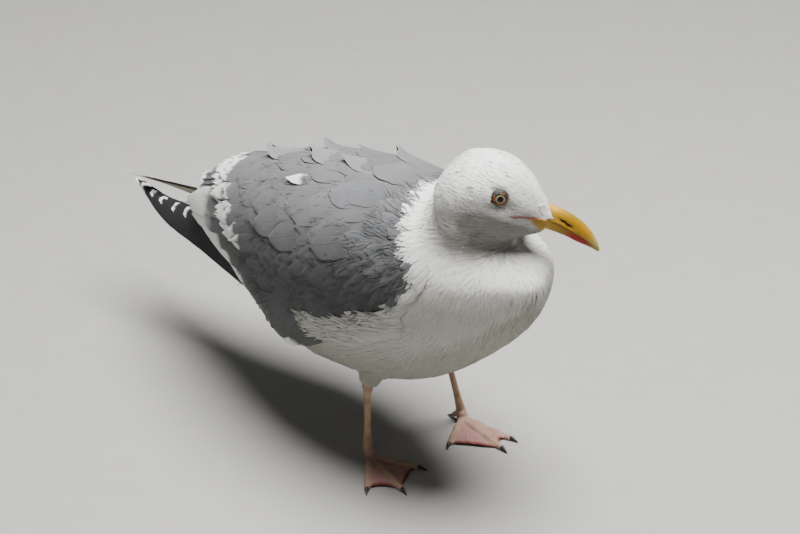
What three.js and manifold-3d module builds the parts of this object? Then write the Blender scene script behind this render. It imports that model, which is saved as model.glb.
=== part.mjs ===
// Herring gull, adult, life size, standing on both feet with its head turned to its left.
// Millimetres, +Z up. The bird faces -Y and its left side is +X. The soles lie at Z = 0.
import * as THREE from 'three';
import { mergeVertices } from 'three/addons/utils/BufferGeometryUtils.js';
import Module from 'manifold-3d';

const wasm = await Module();
wasm.setup();

// ---------------------------------------------------------------- driving dimensions
const GAP = 0.3; // clear space left between neighbouring pieces
const BODY_PLACE = new THREE.Vector3(-18, -12, 8); // it stands a little over its right foot

const TRUNK_FRONT = -134; // foremost point of the breast
const TRUNK_REAR = 196; // root of the tail inside its coverts
const RUMP_CUT = 100; // where the trunk gives way to the loose feathers of rump and vent
const TAIL_CUT = 150; // where rump and tail are parted
const TAIL_TIP = 288;

const HEAD_CENTRE = new THREE.Vector3(-18, -104, 240);
const HEAD_TURN = 46; // degrees to the bird's left
const HEAD_DROP = 21; // degrees that the bill points below level
const HEAD_BACK = -42; // back of the skull, along the head's own axis
const BILL_TIP = 79.5; // along the head's own axis
const BILL_ROOT = 22; // hidden start of the bill inside the face
const EYE_ALONG = -1.9;
const EYE_SIDE = 19;
const EYE_UP = 12.2;
const EYE_RADIUS = 7.2;

const WRIST = -74; // foremost point of the folded wing
const TERTIAL_TIP = 248; // rearmost point of the wing's cloak of coverts and tertials
const WING_TIP = 354; // rearmost point of the folded primaries

const STANCE = 45; // toe joint from the mid plane between the feet
const TOE_JOINT_HEIGHT = 6;
const SHANK_TOP = 66; // height of the hock
const TOE_LENGTHS = { inner: 39, middle: 52, outer: 46 }; // joint to root of claw
const STEPS = { // each foot's turn, and its toes' spread from the middle one, in degrees
  left: { turn: -6, spread: { inner: 50, middle: 0, outer: -18 } },
  right: { turn: -12, spread: { inner: 41, middle: 0, outer: -30 } },
};
const CLAW_LENGTH = 7.5;
const WEB_THICKNESS = 1.2;

// ---------------------------------------------------------------- small tools
const rad = THREE.MathUtils.degToRad;
const vec = (x, y, z) => new THREE.Vector3(x, y, z);
const inBody = (x, y, z) => vec(x, y, z).add(BODY_PLACE); // x is 0 in the body's own mid plane

/** Smooth curve through [place, value] keys: a cubic with the slope at each key averaged. */
function through(keys) {
  const slope = (i) => (keys[i + 1][1] - keys[i][1]) / (keys[i + 1][0] - keys[i][0]);
  const last = keys.length - 1;
  const tangent = keys.map((_, i) => {
    if (i === 0) return slope(0);
    if (i === last) return slope(last - 1);
    return (slope(i - 1) + slope(i)) / 2;
  });
  return (s) => {
    let i = 0;
    while (i < last - 1 && s > keys[i + 1][0]) i += 1;
    const width = keys[i + 1][0] - keys[i][0];
    const u = THREE.MathUtils.clamp((s - keys[i][0]) / width, 0, 1);
    const v = 1 - u;
    const hermite = keys[i][1] * v * v * (1 + 2 * u) + keys[i + 1][1] * u * u * (3 - 2 * u);
    return hermite + width * u * v * (tangent[i] * v - tangent[i + 1] * u);
  };
}

/** Columns of a table of sizes, each one a smooth curve over the first column. */
function table(names, rows) {
  const curves = {};
  names.forEach((name, k) => {
    curves[name] = through(rows.map((row) => [row[0], row[k + 1]]));
  });
  return curves;
}

/** Quarter-ellipse swell from 0 at an end to 1 at `reach` from it. */
const swell = (distance, reach) => {
  const u = Math.min(1, Math.max(0, distance) / reach);
  return Math.sqrt(1 - (1 - u) * (1 - u));
};

/** Closed surface of rings between two points: ringAt(s) lists the points of one ring. */
function skin(from, to, rings, ringAt) {
  const first = ringAt(from);
  const points = [centroid(first)];
  const sides = first.length;
  for (let i = 1; i < rings; i += 1) {
    const s = from + (to - from) * (0.5 - 0.5 * Math.cos((Math.PI * i) / rings));
    points.push(...ringAt(s));
  }
  points.push(centroid(ringAt(to)));
  const end = points.length - 1;
  const index = [];
  for (let k = 0; k < sides; k += 1) {
    const next = (k + 1) % sides;
    index.push(0, 1 + next, 1 + k);
    for (let i = 0; i < rings - 2; i += 1) {
      const a = 1 + i * sides;
      const b = a + sides;
      index.push(a + k, a + next, b + k, a + next, b + next, b + k);
    }
    index.push(end, end - sides + k, end - sides + next);
  }
  const geometry = new THREE.BufferGeometry().setFromPoints(points);
  geometry.setIndex(index);
  return outward(geometry);
}

function centroid(points) {
  const sum = vec(0, 0, 0);
  points.forEach((p) => sum.add(p));
  return sum.divideScalar(points.length);
}

/** The same closed surface with its faces pointing out. */
function outward(geometry) {
  const p = geometry.attributes.position;
  const ids = geometry.index.array;
  let volume = 0;
  const [a, b, c] = [vec(0, 0, 0), vec(0, 0, 0), vec(0, 0, 0)];
  for (let t = 0; t < ids.length; t += 3) {
    a.fromBufferAttribute(p, ids[t]);
    b.fromBufferAttribute(p, ids[t + 1]);
    c.fromBufferAttribute(p, ids[t + 2]);
    volume += a.dot(b.cross(c));
  }
  if (volume < 0) {
    const turned = Array.from(ids);
    for (let t = 0; t < turned.length; t += 3) turned.splice(t, 3, ids[t], ids[t + 2], ids[t + 1]);
    geometry.setIndex(turned);
  }
  return geometry;
}

/** The same closed surface pushed out along its normals. */
function grown(geometry, amount = GAP) {
  const copy = geometry.clone();
  copy.computeVertexNormals();
  const p = copy.attributes.position;
  const n = copy.attributes.normal;
  for (let i = 0; i < p.count; i += 1) {
    const place = vec(p.getX(i), p.getY(i), p.getZ(i));
    place.add(vec(n.getX(i), n.getY(i), n.getZ(i)).multiplyScalar(amount));
    p.setXYZ(i, place.x, place.y, place.z);
  }
  copy.deleteAttribute('normal');
  return copy;
}

/** Superellipse ring: half width across, one half height above and another below the centre. */
function ring(centre, across, up, half, above, below, sides, power = 2) {
  const points = [];
  for (let k = 0; k < sides; k += 1) {
    const angle = (2 * Math.PI * k) / sides;
    const c = Math.cos(angle);
    const s = Math.sin(angle);
    const x = Math.sign(c) * Math.abs(c) ** (2 / power) * half;
    const z = Math.sign(s) * Math.abs(s) ** (2 / power) * (s > 0 ? above : below);
    points.push(centre.clone().addScaledVector(across, x).addScaledVector(up, z));
  }
  return points;
}

/** A closed geometry as a solid that can be joined and cut. */
function solid(geometry) {
  const bare = geometry.clone();
  Object.keys(bare.attributes).forEach((name) => name !== 'position' && bare.deleteAttribute(name));
  const merged = mergeVertices(bare, 1e-4);
  return new wasm.Manifold(new wasm.Mesh({
    numProp: 3,
    vertProperties: new Float32Array(merged.attributes.position.array),
    triVerts: new Uint32Array(merged.index.array),
  }));
}

/** The largest single piece of a solid, as a geometry. */
function surface(body) {
  const pieces = body.decompose().sort((a, b) => b.volume() - a.volume());
  const mesh = pieces[0].getMesh();
  const geometry = new THREE.BufferGeometry();
  geometry.setAttribute('position', new THREE.BufferAttribute(new Float32Array(mesh.vertProperties), 3));
  geometry.setIndex(new THREE.BufferAttribute(new Uint32Array(mesh.triVerts), 1));
  return geometry;
}

/** A large block whose lower face lies half a gap above a plane through a point. */
function above(point, normal) {
  const size = 600;
  const block = new THREE.BoxGeometry(size, size, size);
  block.translate(0, 0, size / 2 + GAP / 2);
  block.applyQuaternion(new THREE.Quaternion().setFromUnitVectors(vec(0, 0, 1), normal.clone().normalize()));
  block.translate(point.x, point.y, point.z);
  return solid(block);
}
const below = (point, normal) => above(point, normal.clone().negate());

// ---------------------------------------------------------------- the head's own frame
const headForward = vec(
  Math.sin(rad(HEAD_TURN)) * Math.cos(rad(HEAD_DROP)),
  -Math.cos(rad(HEAD_TURN)) * Math.cos(rad(HEAD_DROP)),
  -Math.sin(rad(HEAD_DROP)),
);
const headLeft = vec(Math.cos(rad(HEAD_TURN)), Math.sin(rad(HEAD_TURN)), 0);
const headUp = headForward.clone().cross(headLeft);
const inHead = (along, side, up) => HEAD_CENTRE.clone()
  .addScaledVector(headForward, along)
  .addScaledVector(headLeft, side)
  .addScaledVector(headUp, up);

// ---------------------------------------------------------------- trunk, neck, head, tail
// y: place along the body, centre: height of the widest level, half: half width,
// rise and drop: from that level to the top of the back and to the bottom of the belly.
const trunkSizes = table(['centre', 'half', 'rise', 'drop'], [
  [TRUNK_FRONT, 179, 28, 14, 32],
  [-105, 176, 46, 23, 50],
  [-80, 168, 56, 42, 64],
  [-45, 158, 63, 62, 80],
  [0, 148, 66, 71, 89],
  [45, 140, 63, 70, 90],
  [85, 130, 57, 54, 84],
  [120, 120, 43, 34, 62],
  [155, 110, 28, 20, 28],
  [TRUNK_REAR, 102, 18, 9, 11],
]);
function trunkRing(y) {
  const round = swell(y - TRUNK_FRONT, 34) * swell(TRUNK_REAR - y, 10);
  const centre = inBody(0, y, trunkSizes.centre(y));
  const sizes = ['half', 'rise', 'drop'].map((name) => trunkSizes[name](y) * round);
  return ring(centre, vec(1, 0, 0), vec(0, 0, 1), ...sizes, 24, 2.2);
}
const trunkWhole = skin(TRUNK_FRONT, TRUNK_REAR, 18, trunkRing);

// The neck runs from deep in the shoulders up into the head.
const neckPath = new THREE.CatmullRomCurve3([
  inBody(0, -36, 164),
  inBody(0, -62, 186),
  inBody(0, -80, 208),
  HEAD_CENTRE.clone().add(vec(1, 5, -4)),
]);
const neckSizes = table(['half', 'front', 'back'], [
  [0, 46, 42, 42],
  [0.35, 44, 36, 42],
  [0.7, 36, 24, 39],
  [1, 27, 19, 28],
]);
function neckRing(t) {
  const along = neckPath.getTangent(t);
  const across = vec(1, 0, 0);
  const forward = across.clone().cross(along).normalize();
  const round = swell(t, 0.2) * swell(1 - t, 0.3);
  const [half, front, back] = ['half', 'front', 'back'].map((name) => neckSizes[name](t) * round);
  const toFront = forward.y < 0 ? forward : forward.negate();
  return ring(neckPath.getPoint(t), across, toFront, half, front, back, 20);
}
const neckWhole = skin(0, 1, 9, neckRing);

// Along the head's own axis: level of the widest part, half width, crown above it, throat below it.
const headSizes = table(['centre', 'half', 'rise', 'drop'], [
  [HEAD_BACK, -6, 22, 22, 20],
  [-28, -3, 26, 30.5, 29],
  [-12, 0, 28, 33.8, 32.5],
  [3, 1, 25.8, 33.2, 32],
  [14, 1, 20.8, 30.2, 28],
  [23, 0, 15.6, 24.4, 20.5],
  [31, -1, 10.4, 17, 13],
  [40, -2, 7, 9, 7],
]);
function headRing(x) {
  const round = swell(x - HEAD_BACK, 15) * swell(40 - x, 6);
  const sizes = ['half', 'rise', 'drop'].map((name) => headSizes[name](x) * round);
  return ring(inHead(x, 0, headSizes.centre(x)), headLeft, headUp, ...sizes, 20, 2.1);
}
const headWhole = skin(HEAD_BACK, 40, 15, headRing);

// Closed tail: a flat blade of feathers, square at its end.
const tailSizes = table(['top', 'half', 'thick'], [
  [120, 112, 18, 16],
  [160, 110, 21, 13],
  [200, 104, 18, 8],
  [240, 99, 17, 5],
  [TAIL_TIP, 94, 17.5, 3],
]);
function tailRing(y) {
  const round = swell(TAIL_TIP - y, 8);
  const half = tailSizes.half(y) * (0.6 + 0.4 * round);
  const thick = tailSizes.thick(y) * (0.4 + 0.6 * round) / 2;
  const lean = 6 * THREE.MathUtils.smoothstep(y, 200, TAIL_TIP);
  const centre = inBody(lean, y, tailSizes.top(y) - thick);
  return ring(centre, vec(1, 0, 0), vec(0, 0, 1), half, thick, thick, 10, 2.6);
}
const tailWhole = skin(120, TAIL_TIP, 9, tailRing);

// ---------------------------------------------------------------- bill
// Height of culmen, lower edge and cutting edge over the head's axis, and half width.
const billSizes = table(['culmen', 'keel', 'half'], [
  [BILL_ROOT, 14, -7, 8.2],
  [33, 12, -6.7, 7],
  [44, 11.5, -6.0, 5.6],
  [54, 9.9, -6.1, 4.9],
  [62, 7.4, -7, 4.3],
  [70, 3, -7.4, 3.3],
  [76, -2.2, -8, 2.2],
  [BILL_TIP, -6.3, -9, 1.2],
]);
const cuttingEdge = through([[BILL_ROOT, 2.2], [38, 2.3], [52, 0.9], [64, -1.6], [72, -4.3], [84, -9.5]]);
function billRing(x) {
  const round = swell(BILL_TIP - x, 2.5);
  const top = billSizes.culmen(x);
  const low = billSizes.keel(x);
  const level = 0.55 * low + 0.45 * top;
  const centre = inHead(x, 0, level);
  const half = billSizes.half(x) * round;
  return ring(centre, headLeft, headUp, half, (top - level) * round, (level - low) * round, 12, 2.1);
}
const billWhole = skin(BILL_ROOT, BILL_TIP, 12, billRing);

/** Upright slab along the cutting edge, from -half to +half of its own thickness. */
function edgeSlab(low, high) {
  const places = [10, 20, 30, 38, 46, 54, 60, 66, 72, 78, 90];
  const outline = [
    ...places.map((x) => new THREE.Vector2(x, cuttingEdge(x) + low)),
    ...places.slice().reverse().map((x) => new THREE.Vector2(x, cuttingEdge(x) + high)),
  ];
  const depth = 40;
  const slab = new THREE.ExtrudeGeometry(new THREE.Shape(outline), { depth, bevelEnabled: false });
  slab.translate(0, 0, -depth / 2);
  const frame = new THREE.Matrix4().makeBasis(headForward, headUp, headForward.clone().cross(headUp));
  slab.applyMatrix4(frame.setPosition(HEAD_CENTRE));
  return solid(slab);
}

// ---------------------------------------------------------------- wings
// Cloak over the sides of the body. centre: level of the greatest width, half: half width,
// rise and drop: to its top and bottom; thick: its own thickness; high and low: where the wing
// starts and ends round the cloak, in degrees from the top of the back.
const cloakSizes = table(['centre', 'half', 'rise', 'drop', 'thick', 'high', 'low'], [
  [WRIST, 160, 60, 50, 60, 8, 62, 104],
  [-35, 156, 67, 63, 72, 9, 50, 112],
  [10, 148, 71.5, 73, 80, 9, 36, 117],
  [50, 142, 70.5, 73, 94, 8, 22, 127],
  [90, 137, 65, 69, 104, 7, 8, 133],
  [130, 133, 56, 60, 80, 6, 4, 131],
  [170, 128, 45, 50.5, 56, 5, 4, 119],
  [210, 121, 33, 39, 42, 4, 4, 104],
  [TERTIAL_TIP, 113, 20, 27, 28, 4, 5, 80],
]);
function wingRing(side, y) {
  const sides = 16;
  const round = swell(y - WRIST, 26) * swell(TERTIAL_TIP - y, 16);
  const size = (name) => cloakSizes[name](y);
  const middle = (size('high') + size('low')) / 2;
  const reach = ((size('low') - size('high')) / 2) * (0.35 + 0.65 * round);
  const points = [];
  for (let k = 0; k < sides; k += 1) {
    const turn = (2 * Math.PI * k) / sides;
    const along = Math.sign(Math.cos(turn)) * Math.abs(Math.cos(turn)) ** 0.85;
    const depth = Math.sign(Math.sin(turn)) * Math.abs(Math.sin(turn)) ** 0.7;
    const angle = rad(middle + reach * along);
    const height = Math.cos(angle) > 0 ? size('rise') : size('drop');
    const inset = (1 - depth * round) * size('thick') / 2;
    const x = Math.sin(angle) * (size('half') - inset);
    const z = size('centre') + Math.cos(angle) * (height - inset);
    points.push(inBody(side * x, y, z));
  }
  return points;
}
const wingWhole = (side) => skin(WRIST, TERTIAL_TIP, 16, (y) => wingRing(side, y));

// Folded primaries: a blade that slopes inwards over the tail, the left tip crossing above the right.
const PRIMARY_ROOT = 96;
const bladeSizes = table(['out', 'level', 'reach', 'tilt', 'thick'], [
  [PRIMARY_ROOT, 42, 98, 16, 22, 6],
  [140, 34, 101, 17, 26, 5],
  [190, 26, 103, 17.5, 30, 4.4],
  [240, 18, 104, 15, 34, 4],
  [290, 8, 101, 10, 48, 3.4],
  [WING_TIP, -6, 98, 4.5, 62, 2.4],
]);
const tipRise = through([[PRIMARY_ROOT, 0], [200, 0], [290, 5.2], [WING_TIP, 5.2]]);
function bladeRing(side, y) {
  const round = swell(WING_TIP - y, 30) * swell(y - PRIMARY_ROOT, 12);
  const size = (name) => bladeSizes[name](y);
  const centre = inBody(side * size('out'), y, size('level') + side * tipRise(y));
  const slope = rad(size('tilt'));
  const upright = vec(-side * Math.sin(slope), 0, Math.cos(slope));
  const flat = vec(side * Math.cos(slope), 0, Math.sin(slope));
  const reach = size('reach') * round;
  return ring(centre, flat, upright, size('thick') * (0.3 + 0.7 * round) / 2, reach, reach, 10, 2.2);
}
const bladeWhole = (side) => skin(PRIMARY_ROOT, WING_TIP, 12, (y) => bladeRing(side, y));

// ---------------------------------------------------------------- legs
// Shank: a slim bone sheathed in scutes, deeper than it is wide, with a knuckle at the hock.
const shankSizes = table(['half', 'front', 'back'], [
  [0, 3.2, 3.8, 4.0],
  [0.12, 2.6, 3.0, 3.3],
  [0.5, 2.3, 2.7, 3.0],
  [0.85, 2.6, 3.1, 3.8],
  [0.94, 3.8, 4.2, 5.0],
  [1, 3.4, 3.8, 4.2],
]);
const hocks = { left: vec(26.5, -2, SHANK_TOP), right: vec(-51, -5, SHANK_TOP) };
const toeJoint = (side) => vec(side * STANCE, 0, TOE_JOINT_HEIGHT);
function shank(side, name) {
  const low = toeJoint(side).add(vec(0, 3, 6));
  const high = hocks[name];
  const along = high.clone().sub(low).normalize();
  const across = vec(1, 0, 0).addScaledVector(along, -along.x).normalize();
  const front = across.clone().cross(along).normalize();
  const toFront = front.y < 0 ? front : front.negate();
  return skin(0, 1, 9, (t) => {
    const round = swell(t, 0.03) * swell(1 - t, 0.05);
    const sizes = ['half', 'front', 'back'].map((key) => shankSizes[key](t) * round);
    return ring(low.clone().lerp(high, t), across, toFront, ...sizes, 10);
  });
}

// Feathered lower thigh: a short cone from the belly down to the hock.
const THIGH_RISE = { left: vec(-10, -10, 42), right: vec(3, -8, 42) };
function thigh(name) {
  const low = hocks[name].clone().add(vec(0, -1, 1.5));
  const high = low.clone().add(THIGH_RISE[name]);
  const along = high.clone().sub(low).normalize();
  const across = vec(1, 0, 0).addScaledVector(along, -along.x).normalize();
  const front = across.clone().cross(along).normalize();
  return skin(0, 1, 8, (t) => {
    const size = THREE.MathUtils.lerp(4.6, 19, t) * swell(t, 0.12) * swell(1 - t, 0.1);
    return ring(low.clone().lerp(high, t), across, front, size, size * 1.15, size * 1.15, 12);
  });
}

// ---------------------------------------------------------------- webbed feet, in a foot's own frame
// The toe joint stands over the origin, -Y is forward and `inner` turns towards the other foot.
const onFoot = (side, spread, distance, height) => {
  const turn = rad(spread) * -side;
  return vec(Math.sin(turn) * distance, -Math.cos(turn) * distance, height);
};
function toe(side, spread, length) {
  const across = onFoot(side, spread + 90, 1, 0);
  return skin(-5, length, 6, (s) => {
    const knuckle = 1 + 0.1 * Math.cos((s / length) * 6 * Math.PI);
    const round = swell(s + 5, 5) * swell(length - s, 4);
    const half = THREE.MathUtils.lerp(3.7, 2.2, Math.max(0, s) / length) * knuckle * round;
    const tall = THREE.MathUtils.lerp(3.6, 2.1, Math.max(0, s) / length) * knuckle * (0.4 + 0.6 * round);
    const centre = onFoot(side, spread, s, tall * 0.62);
    const points = ring(centre, across, vec(0, 0, 1), half, tall, tall, 8, 2.2);
    points.forEach((p) => p.setZ(Math.max(0, p.z)));
    return points;
  });
}

/** Web: a thin fan whose edge sags back between the toe tips and which arches a little off the floor. */
function web(side, from, to) {
  const spokes = 10;
  const steps = 3;
  const reachAt = (spread) => {
    const outer = spread < 0;
    const share = outer ? spread / from : spread / to;
    const tip = THREE.MathUtils.lerp(TOE_LENGTHS.middle, outer ? TOE_LENGTHS.outer : TOE_LENGTHS.inner, share);
    return (tip - 3) * (1 - 0.2 * Math.sin(Math.PI * share) ** 1.2);
  };
  const archAt = (spread, share) => {
    const between = spread < 0 ? spread / from : spread / to;
    return 1.6 * Math.sin(Math.PI * between) * Math.sin(Math.PI * Math.min(1, share * 0.8));
  };
  const points = [];
  for (const lift of [0.5, 0.5 + WEB_THICKNESS]) {
    for (let i = 0; i <= spokes; i += 1) {
      const spread = THREE.MathUtils.lerp(from, to, i / spokes);
      for (let j = 1; j <= steps; j += 1) {
        points.push(onFoot(side, spread, (reachAt(spread) * j) / steps, lift + archAt(spread, j / steps)));
      }
    }
    points.push(onFoot(side, 0, -1, lift));
  }
  const layer = points.length / 2;
  const at = (top, i, j) => top * layer + i * steps + (j - 1);
  const root = (top) => (top + 1) * layer - 1;
  const index = [];
  const quad = (a, b, c, d) => index.push(a, b, c, a, c, d);
  for (let i = 0; i < spokes; i += 1) {
    index.push(root(1), at(1, i, 1), at(1, i + 1, 1), root(0), at(0, i + 1, 1), at(0, i, 1));
    for (let j = 1; j < steps; j += 1) {
      quad(at(1, i, j), at(1, i, j + 1), at(1, i + 1, j + 1), at(1, i + 1, j));
      quad(at(0, i + 1, j), at(0, i + 1, j + 1), at(0, i, j + 1), at(0, i, j));
    }
    quad(at(0, i, steps), at(0, i + 1, steps), at(1, i + 1, steps), at(1, i, steps));
  }
  for (const [i, turn] of [[0, 1], [spokes, -1]]) {
    const wall = [[root(0), at(0, i, 1), at(1, i, 1), root(1)]];
    for (let j = 1; j < steps; j += 1) wall.push([at(0, i, j), at(0, i, j + 1), at(1, i, j + 1), at(1, i, j)]);
    wall.forEach((q) => quad(...(turn > 0 ? q : q.reverse())));
  }
  const geometry = new THREE.BufferGeometry().setFromPoints(points);
  geometry.setIndex(index);
  return outward(geometry);
}

/** Knuckle over the toes, which carries the shank. */
function knuckle() {
  const ball = new THREE.SphereGeometry(4.7, 10, 7);
  ball.scale(1, 1.1, 1);
  ball.translate(0, 1.2, TOE_JOINT_HEIGHT - 0.6);
  return ball;
}
const HIND_TOE_END = (side) => vec(-side * 2.6, 11, 1.5);
/** Hind toe: a short finger set low behind the knuckle, flat where it meets the floor. */
const hindToe = (side) => {
  const from = vec(-side * 0.8, 4, 7);
  const to = HIND_TOE_END(side);
  const along = to.clone().sub(from).normalize();
  const across = vec(1, 0, 0).addScaledVector(along, -along.x).normalize();
  const up = across.clone().cross(along).normalize();
  return skin(0, 1, 6, (t) => {
    const size = THREE.MathUtils.lerp(2.6, 1.9, t) * swell(t, 0.3) * swell(1 - t, 0.3);
    const points = ring(from.clone().lerp(to, t), across, up, size, size, size, 8);
    points.forEach((p) => p.setZ(Math.max(0, p.z)));
    return points;
  });
};

/** Claw: a cone that curves down along a direction. */
function claw(root, direction, length, thickness) {
  const across = vec(-direction.y, direction.x, 0).normalize();
  return skin(0, 1, 4, (t) => {
    const sag = -0.28 * length * t * t;
    const centre = root.clone().addScaledVector(direction, length * t).add(vec(0, 0, sag));
    const size = thickness * (1 - 0.8 * t) * swell(t + 0.02, 0.2) * swell(1.01 - t, 0.1);
    return ring(centre, across, vec(0, 0, 1), size, size * 1.15, size * 1.15, 6);
  });
}

// ---------------------------------------------------------------- colours
const finish = (colour, roughness, metalness = 0) => () => new THREE.MeshStandardMaterial({
  color: colour, roughness, metalness,
});
const whitePlumage = finish(0xe9e8e4, 0.9);
const greyPlumage = finish(0x85888f, 0.9);
const blackPlumage = finish(0x17171a, 0.8);
const billHorn = finish(0xdca63c, 0.4);
const pinkSkin = finish(0xa87a6e, 0.6);
const clawHorn = finish(0x1c1d1f, 0.45);
const eyeGlass = finish(0xa9a878, 0.1);

// ---------------------------------------------------------------- assembly
const gull = new THREE.Group();
const add = (name, geometry, material, parent = gull) => {
  const mesh = new THREE.Mesh(geometry, material());
  mesh.name = name;
  parent.add(mesh);
  return mesh;
};
const sideOf = { left: 1, right: -1 };
const sideNames = Object.keys(sideOf);

const wings = sideNames.map((name) => wingWhole(sideOf[name]));
const blades = sideNames.map((name) => bladeWhole(sideOf[name]));
const eyeCentre = (side) => inHead(EYE_ALONG, side * EYE_SIDE, EYE_UP);
const eyeball = (side, radius) => {
  const ball = new THREE.SphereGeometry(radius, 12, 8);
  const centre = eyeCentre(side);
  return ball.translate(centre.x, centre.y, centre.z);
};

// The flesh is joined whole, hollowed for the wings, bill and eyes, and then parted by planes.
let whole = solid(trunkWhole).add(solid(neckWhole)).add(solid(headWhole)).add(solid(tailWhole));
for (const piece of [...wings, ...blades, billWhole]) whole = whole.subtract(solid(grown(piece)));
for (const side of [1, -1]) whole = whole.subtract(solid(eyeball(side, EYE_RADIUS + GAP)));

const napePoint = inHead(-16, 0, -24);
const napeNormal = vec(0.1, -0.42, 0.9);
const shoulderPoint = inBody(0, -84, 197);
const shoulderNormal = vec(0, -0.5, 0.87);
const rumpPoint = inBody(0, RUMP_CUT, 0);
const tailPoint = inBody(0, TAIL_CUT, 0);
const backwards = vec(0, 1, 0);

const upper = whole.intersect(above(shoulderPoint, shoulderNormal));
add('head', surface(upper.intersect(above(napePoint, napeNormal))), whitePlumage);
add('neck', surface(upper.intersect(below(napePoint, napeNormal))), whitePlumage);
const rear = whole.intersect(below(shoulderPoint, shoulderNormal));
const beforeTail = rear.intersect(below(tailPoint, backwards));
add('trunk', surface(beforeTail.intersect(below(rumpPoint, backwards))), whitePlumage);
add('rump', surface(beforeTail.intersect(above(rumpPoint, backwards))), whitePlumage);
add('tail', surface(rear.intersect(above(tailPoint, backwards))), whitePlumage);

const bill = solid(billWhole);
add('bill_upper', surface(bill.intersect(edgeSlab(GAP / 2, 40))), billHorn);
add('bill_lower', surface(bill.intersect(edgeSlab(-40, -GAP / 2))), billHorn);

sideNames.forEach((name, i) => {
  const side = sideOf[name];
  add(`eye_${name}`, eyeball(side, EYE_RADIUS), eyeGlass);
  add(`wing_${name}`, wings[i], greyPlumage);
  add(`primaries_${name}`, surface(solid(blades[i]).subtract(solid(grown(wings[i])))), blackPlumage);

  const shankShape = shank(side, name);
  const flesh = solid(thigh(name)).subtract(solid(grown(trunkWhole))).subtract(solid(grown(shankShape)));
  add(`thigh_${name}`, surface(flesh), whitePlumage);

  const foot = new THREE.Group();
  foot.position.set(side * STANCE, 0, 0);
  foot.rotation.z = rad(STEPS[name].turn);
  gull.add(foot);
  foot.updateMatrixWorld(true);

  const { spread } = STEPS[name];
  const fan = solid(web(side, spread.outer, spread.inner));
  let sole = fan.add(solid(knuckle())).add(solid(hindToe(side)));
  const clawPieces = Object.entries(TOE_LENGTHS).map(([toeName, length]) => {
    sole = sole.add(solid(toe(side, spread[toeName], length)));
    const root = onFoot(side, spread[toeName], length - 1.5, 2.4);
    const direction = onFoot(side, spread[toeName], 1, 0);
    return [`claw_${toeName}_${name}`, claw(root, direction, CLAW_LENGTH, 1.7)];
  });
  clawPieces.push([`claw_hind_${name}`, claw(HIND_TOE_END(side), vec(-side * 0.3, 0.95, 0), 4, 1.1)]);
  clawPieces.forEach(([, shape]) => {
    sole = sole.subtract(solid(grown(shape)));
  });
  const shankInFoot = shankShape.clone().applyMatrix4(foot.matrixWorld.clone().invert());
  sole = sole.subtract(solid(grown(shankInFoot)));
  add(`foot_${name}`, surface(sole), pinkSkin, foot);
  clawPieces.forEach(([clawName, shape]) => add(clawName, shape, clawHorn, foot));
  add(`shank_${name}`, shankShape, pinkSkin);
});

// The origin is put on the floor under the middle of the whole bird's box.
const middle = new THREE.Box3().setFromObject(gull).getCenter(vec(0, 0, 0));
gull.position.set(-middle.x, -middle.y, 0);
const placed = new THREE.Group();
placed.add(gull);

export default placed;
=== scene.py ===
"""Adult herring gull, life size, standing with its head turned to its left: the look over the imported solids.

Shapes are worked out in millimetres in the bird's own frame, where the toe joints stand at y = 0, the bird
faces -y and its left is +x. `placed` moves them to the row's frame in metres.
"""

import bpy
import numpy as np
from mathutils import Matrix, Vector


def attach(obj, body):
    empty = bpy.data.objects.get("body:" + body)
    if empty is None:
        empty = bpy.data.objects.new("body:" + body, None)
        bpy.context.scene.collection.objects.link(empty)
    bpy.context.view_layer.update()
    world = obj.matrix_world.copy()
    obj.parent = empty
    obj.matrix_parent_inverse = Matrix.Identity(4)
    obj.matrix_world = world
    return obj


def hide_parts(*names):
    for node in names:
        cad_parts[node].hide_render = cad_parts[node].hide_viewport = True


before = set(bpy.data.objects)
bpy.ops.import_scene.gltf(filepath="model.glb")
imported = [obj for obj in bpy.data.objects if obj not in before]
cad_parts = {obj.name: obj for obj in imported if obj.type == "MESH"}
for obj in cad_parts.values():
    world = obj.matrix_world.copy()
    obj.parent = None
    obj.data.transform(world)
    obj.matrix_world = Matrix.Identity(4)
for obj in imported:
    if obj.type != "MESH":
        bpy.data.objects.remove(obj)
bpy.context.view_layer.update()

ROW_SHIFT = np.array([13.825, -93.950, 0.0])  # from the bird's own frame to the row's, in mm
BODY_PLACE = np.array([-18.0, -12.0, 8.0])
HEAD_CENTRE = np.array([-18.0, -104.0, 240.0])
HEAD_TURN, HEAD_DROP = np.radians(46), np.radians(21)
EYE_PLACE = (-1.9, 19.0, 12.2)  # along, to the side of and above the head's axis
EYE_RADIUS = 7.2
TRUNK_FRONT, TRUNK_REAR = -134, 196
HEAD_BACK, HEAD_FRONT = -42, 40
WRIST, TERTIAL_TIP, WING_TIP = -74, 248, 354
BILL_ROOT, BILL_TIP = 22, 79.5
SHANK_TOP, TOE_JOINT_HEIGHT, STANCE = 66, 6, 45
SIDES = {"left": 1, "right": -1}

WHITE = np.array([0.80, 0.80, 0.785])
MANTLE_GREY = np.array([0.118, 0.122, 0.130])
SOOT = np.array([0.012, 0.012, 0.014])
DUSK = np.array([0.20, 0.19, 0.17])


# ---------------------------------------------------------------- curves and noise
def through(*keys):
    """Smooth curve through (place, value) keys: a cubic whose slope at a key is the mean of its two chords."""
    x, y = np.array(keys, float).T
    chord = np.diff(y) / np.diff(x)
    slope = np.concatenate([chord[:1], (chord[1:] + chord[:-1]) / 2, chord[-1:]])

    def at(place):
        i = np.clip(np.searchsorted(x, place, side="right") - 1, 0, len(x) - 2)
        width = x[i + 1] - x[i]
        u = np.clip((np.asarray(place, float) - x[i]) / width, 0, 1)
        v = 1 - u
        ends = y[i] * v * v * (1 + 2 * u) + y[i + 1] * u * u * (3 - 2 * u)
        return ends + width * u * v * (slope[i] * v - slope[i + 1] * u)

    return at


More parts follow.
